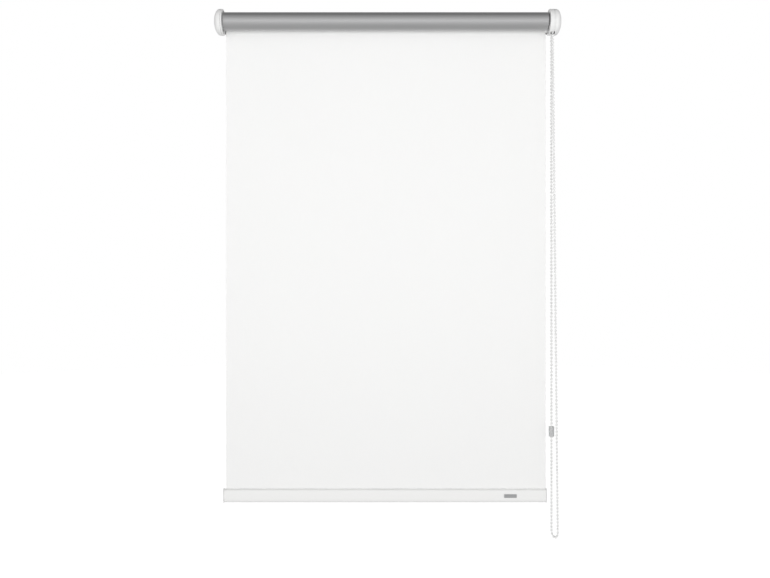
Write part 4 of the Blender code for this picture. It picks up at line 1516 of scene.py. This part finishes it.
@dataclass
class BottomRail:
    """Hollow rail with a keyed slot for the cloth, an end cap at each end and a small blank plate."""

    lower_round: float = 4.49 * MM
    upper_round: float = 4.0 * MM
    belly: float = 2.1
    slot: float = 0.9 * MM
    channel: float = 2.3 * MM
    keder_depth: float = 5.0 * MM
    hollow: tuple[float, float] = (5.8 * MM, 9.0 * MM)
    hollow_depth: float = 14.2 * MM
    tongue: float = 12.0 * MM
    cap_thickness: float = 1.0 * MM
    cap_eased: float = 0.3 * MM
    plate_corner: float = 0.9 * MM
    plate_border: float = 0.45 * MM
    plate_step: float = 0.12 * MM

    def build(self, finishes: Finishes) -> None:
        """Make the rail, its caps and its plate.

        Args:
            finishes: The blind's finishes.
        """
        low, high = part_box("bottom_rail")
        middle = (low.y + high.y) / 2
        rail = self.section(low, high, self.lower_round).outwards().piece("rail_profile", (finishes.paint,))
        past = X_AXIS * 2 * MM
        keder = Vector((0.0, middle, high.z - self.keder_depth))
        start, end = keder + X_AXIS * low.x - past, keder + X_AXIS * high.x + past
        half = self.slot / 2
        slot = Shape().block(
            Vector((start.x, middle - half, keder.z)), Vector((end.x, middle + half, high.z + MM))
        )
        wide, tall = self.hollow
        room = Vector((0.0, middle, high.z - self.hollow_depth))
        hollow = Shape().block(
            room + Vector((start.x, -wide / 2, -tall / 2)), room + Vector((end.x, wide / 2, tall / 2))
        )
        cut(rail, Shape().rod(start, end, self.channel, sides=32), slot, hollow)
        settle(rail, "bottom_bar", Slot.WHITE_PAINT, "bottom_rail")

        for side in ("left", "right"):
            self.build_cap(finishes, side, room)
        self.build_plate(finishes)

    def section(self, low: Vector, high: Vector, lower: float) -> Shape:
        """A bar along X that narrows in a long round towards its lower edge, with eased upper edges."""
        shape = Shape().block(low, high)
        shape.ease(lower, lambda e: runs_along(e, X_AXIS) and e.verts[0].co.z < low.z + TOUCH, 16)
        for vert in (v for v in shape.bm.verts if v.co.z < low.z + 1.01 * lower):
            vert.co.z = low.z + (vert.co.z - low.z) * self.belly
        shape.ease(
            self.upper_round, lambda e: runs_along(e, X_AXIS) and e.verts[0].co.z > high.z - TOUCH, 5
        )
        return shape

    def build_cap(self, finishes: Finishes, side: str, room: Vector) -> None:
        """Make one end cap with its tongue in the rail's hollow."""
        low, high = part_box(f"rail_cap_{side}")
        wide, tall = self.hollow[0] - 2 * CLEARANCE, self.hollow[1] - 2 * CLEARANCE
        plate_low, plate_high = low.copy(), high.copy()
        if side == "left":
            outer = low.x
            plate_high.x = low.x + self.cap_thickness
            reach = (plate_high.x - self.cap_thickness / 4, plate_high.x + self.tongue)
        else:
            outer = high.x
            plate_low.x = high.x - self.cap_thickness
            reach = (plate_low.x - self.tongue, plate_low.x + self.cap_thickness / 4)
        shape = self.section(plate_low, plate_high, (high.y - low.y) / 2 - 0.01 * MM)
        shape.ease(self.cap_eased, sharp_at(outer), 3)
        cap = shape.outwards().piece(f"rail_end_{side}", (finishes.white,))
        tongue = Shape().block(
            room + Vector((reach[0], -wide / 2, -tall / 2)), room + Vector((reach[1], wide / 2, tall / 2))
        )
        join(cap, tongue.ease_corners(0.4 * MM, 2))
        settle(cap, "bottom_bar", Slot.WHITE_PLASTIC, f"rail_cap_{side}")

    def build_plate(self, finishes: Finishes) -> None:
        """Make the blank plate: rounded corners and a fine step round its face."""
        low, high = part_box("rail_badge")
        shape = Shape().block(low, high)
        shape.ease(self.plate_corner, lambda edge: runs_along(edge, Y_AXIS), 4)
        front = [face for face in shape.bm.faces if abs(face.calc_center_median().y - low.y) < TOUCH]
        bmesh.ops.inset_region(
            shape.bm, faces=front, thickness=self.plate_border, depth=-self.plate_step
        )
        shape.ease(0.08 * MM, is_sharp, 2)
        plate = shape.piece("rail_plate", (finishes.plate,))
        settle(plate, "bottom_bar", Slot.GREY, "rail_badge")


def join(piece: bpy.types.Object, other: Shape) -> None:
    """Weld another shape to a piece."""
    added = other.outwards().piece(f"{piece.name}_joined", (), smooth=False)
    modifier = piece.modifiers.new("Join", "BOOLEAN")
    modifier.operation, modifier.solver, modifier.object = "UNION", "EXACT", added
    settle_modifiers(piece)
    bpy.data.objects.remove(added)
    round_off(piece)


# ---------------------------------------------------------------------------
# The frame's own pieces
# ---------------------------------------------------------------------------


@dataclass
class InnerWorks:
    """The frame's own pieces that keep their shape and get a proper finish."""

    def dress(self, finishes: Finishes) -> None:
        """Give every node that still shows its finish.

        Args:
            finishes: The blind's finishes.
        """
        groups: dict[Finish, tuple[str, ...]] = {
            finishes.white: ("chain_wheel",),
            finishes.grey: (
                "idle_bush", "idle_plug", "chain_guide", "clutch_core", "tube_spline", "rail_keder",
            ),
            finishes.dark: ("drive_hub",),
            finishes.turned: (
                "idle_pin", "spring_seat", "socket_rivet_lower", "socket_rivet_upper", "core_rivet_lower",
                "core_rivet_upper", "hub_screw",
            ),
            finishes.spring: ("wrap_spring_inner", "wrap_spring_outer"),
            finishes.zinc: ("hub_retainer",),
            finishes.tube: ("roller_tube",),
        }
        for finish, names in groups.items():
            for name in names:
                for slot in frame["nodes"][name].material_slots:
                    slot.material = finish.material()
            log.info("%-18s on %s", finish.name, ", ".join(names))


def main() -> None:
    """Build the studio and every part of the blind, in order."""
    logging.basicConfig(level=logging.INFO, format="%(message)s")
    finishes = Finishes()
    studio = Studio()
    studio.place_camera()
    Connector().build(finishes)
    BeadChain(ChainRoute()).build(finishes)
    RollOfCloth().build(finishes)
    HangingCloth().build(finishes)
    for side, name in ((Side.IDLE, "cover_left"), (Side.CHAIN, "cover_right")):
        EndCover(side, name).build(finishes)
    idle_end = IdleEnd()
    Bracket(
        Side.IDLE, "bracket_left", shaft_hole=idle_end.bore, rivet_circle=idle_end.rivet_circle
    ).build(finishes)
    Bracket(Side.CHAIN, "bracket_right", shaft_hole=6.3 * MM, rivet_circle=7.8 * MM).build(finishes)
    idle_end.build(finishes)
    ChainHousing().build(finishes)
    BottomRail().build(finishes)
    InnerWorks().dress(finishes)
    studio.light()
    studio.lay_floor()


if __name__ == "__main__":
    main()
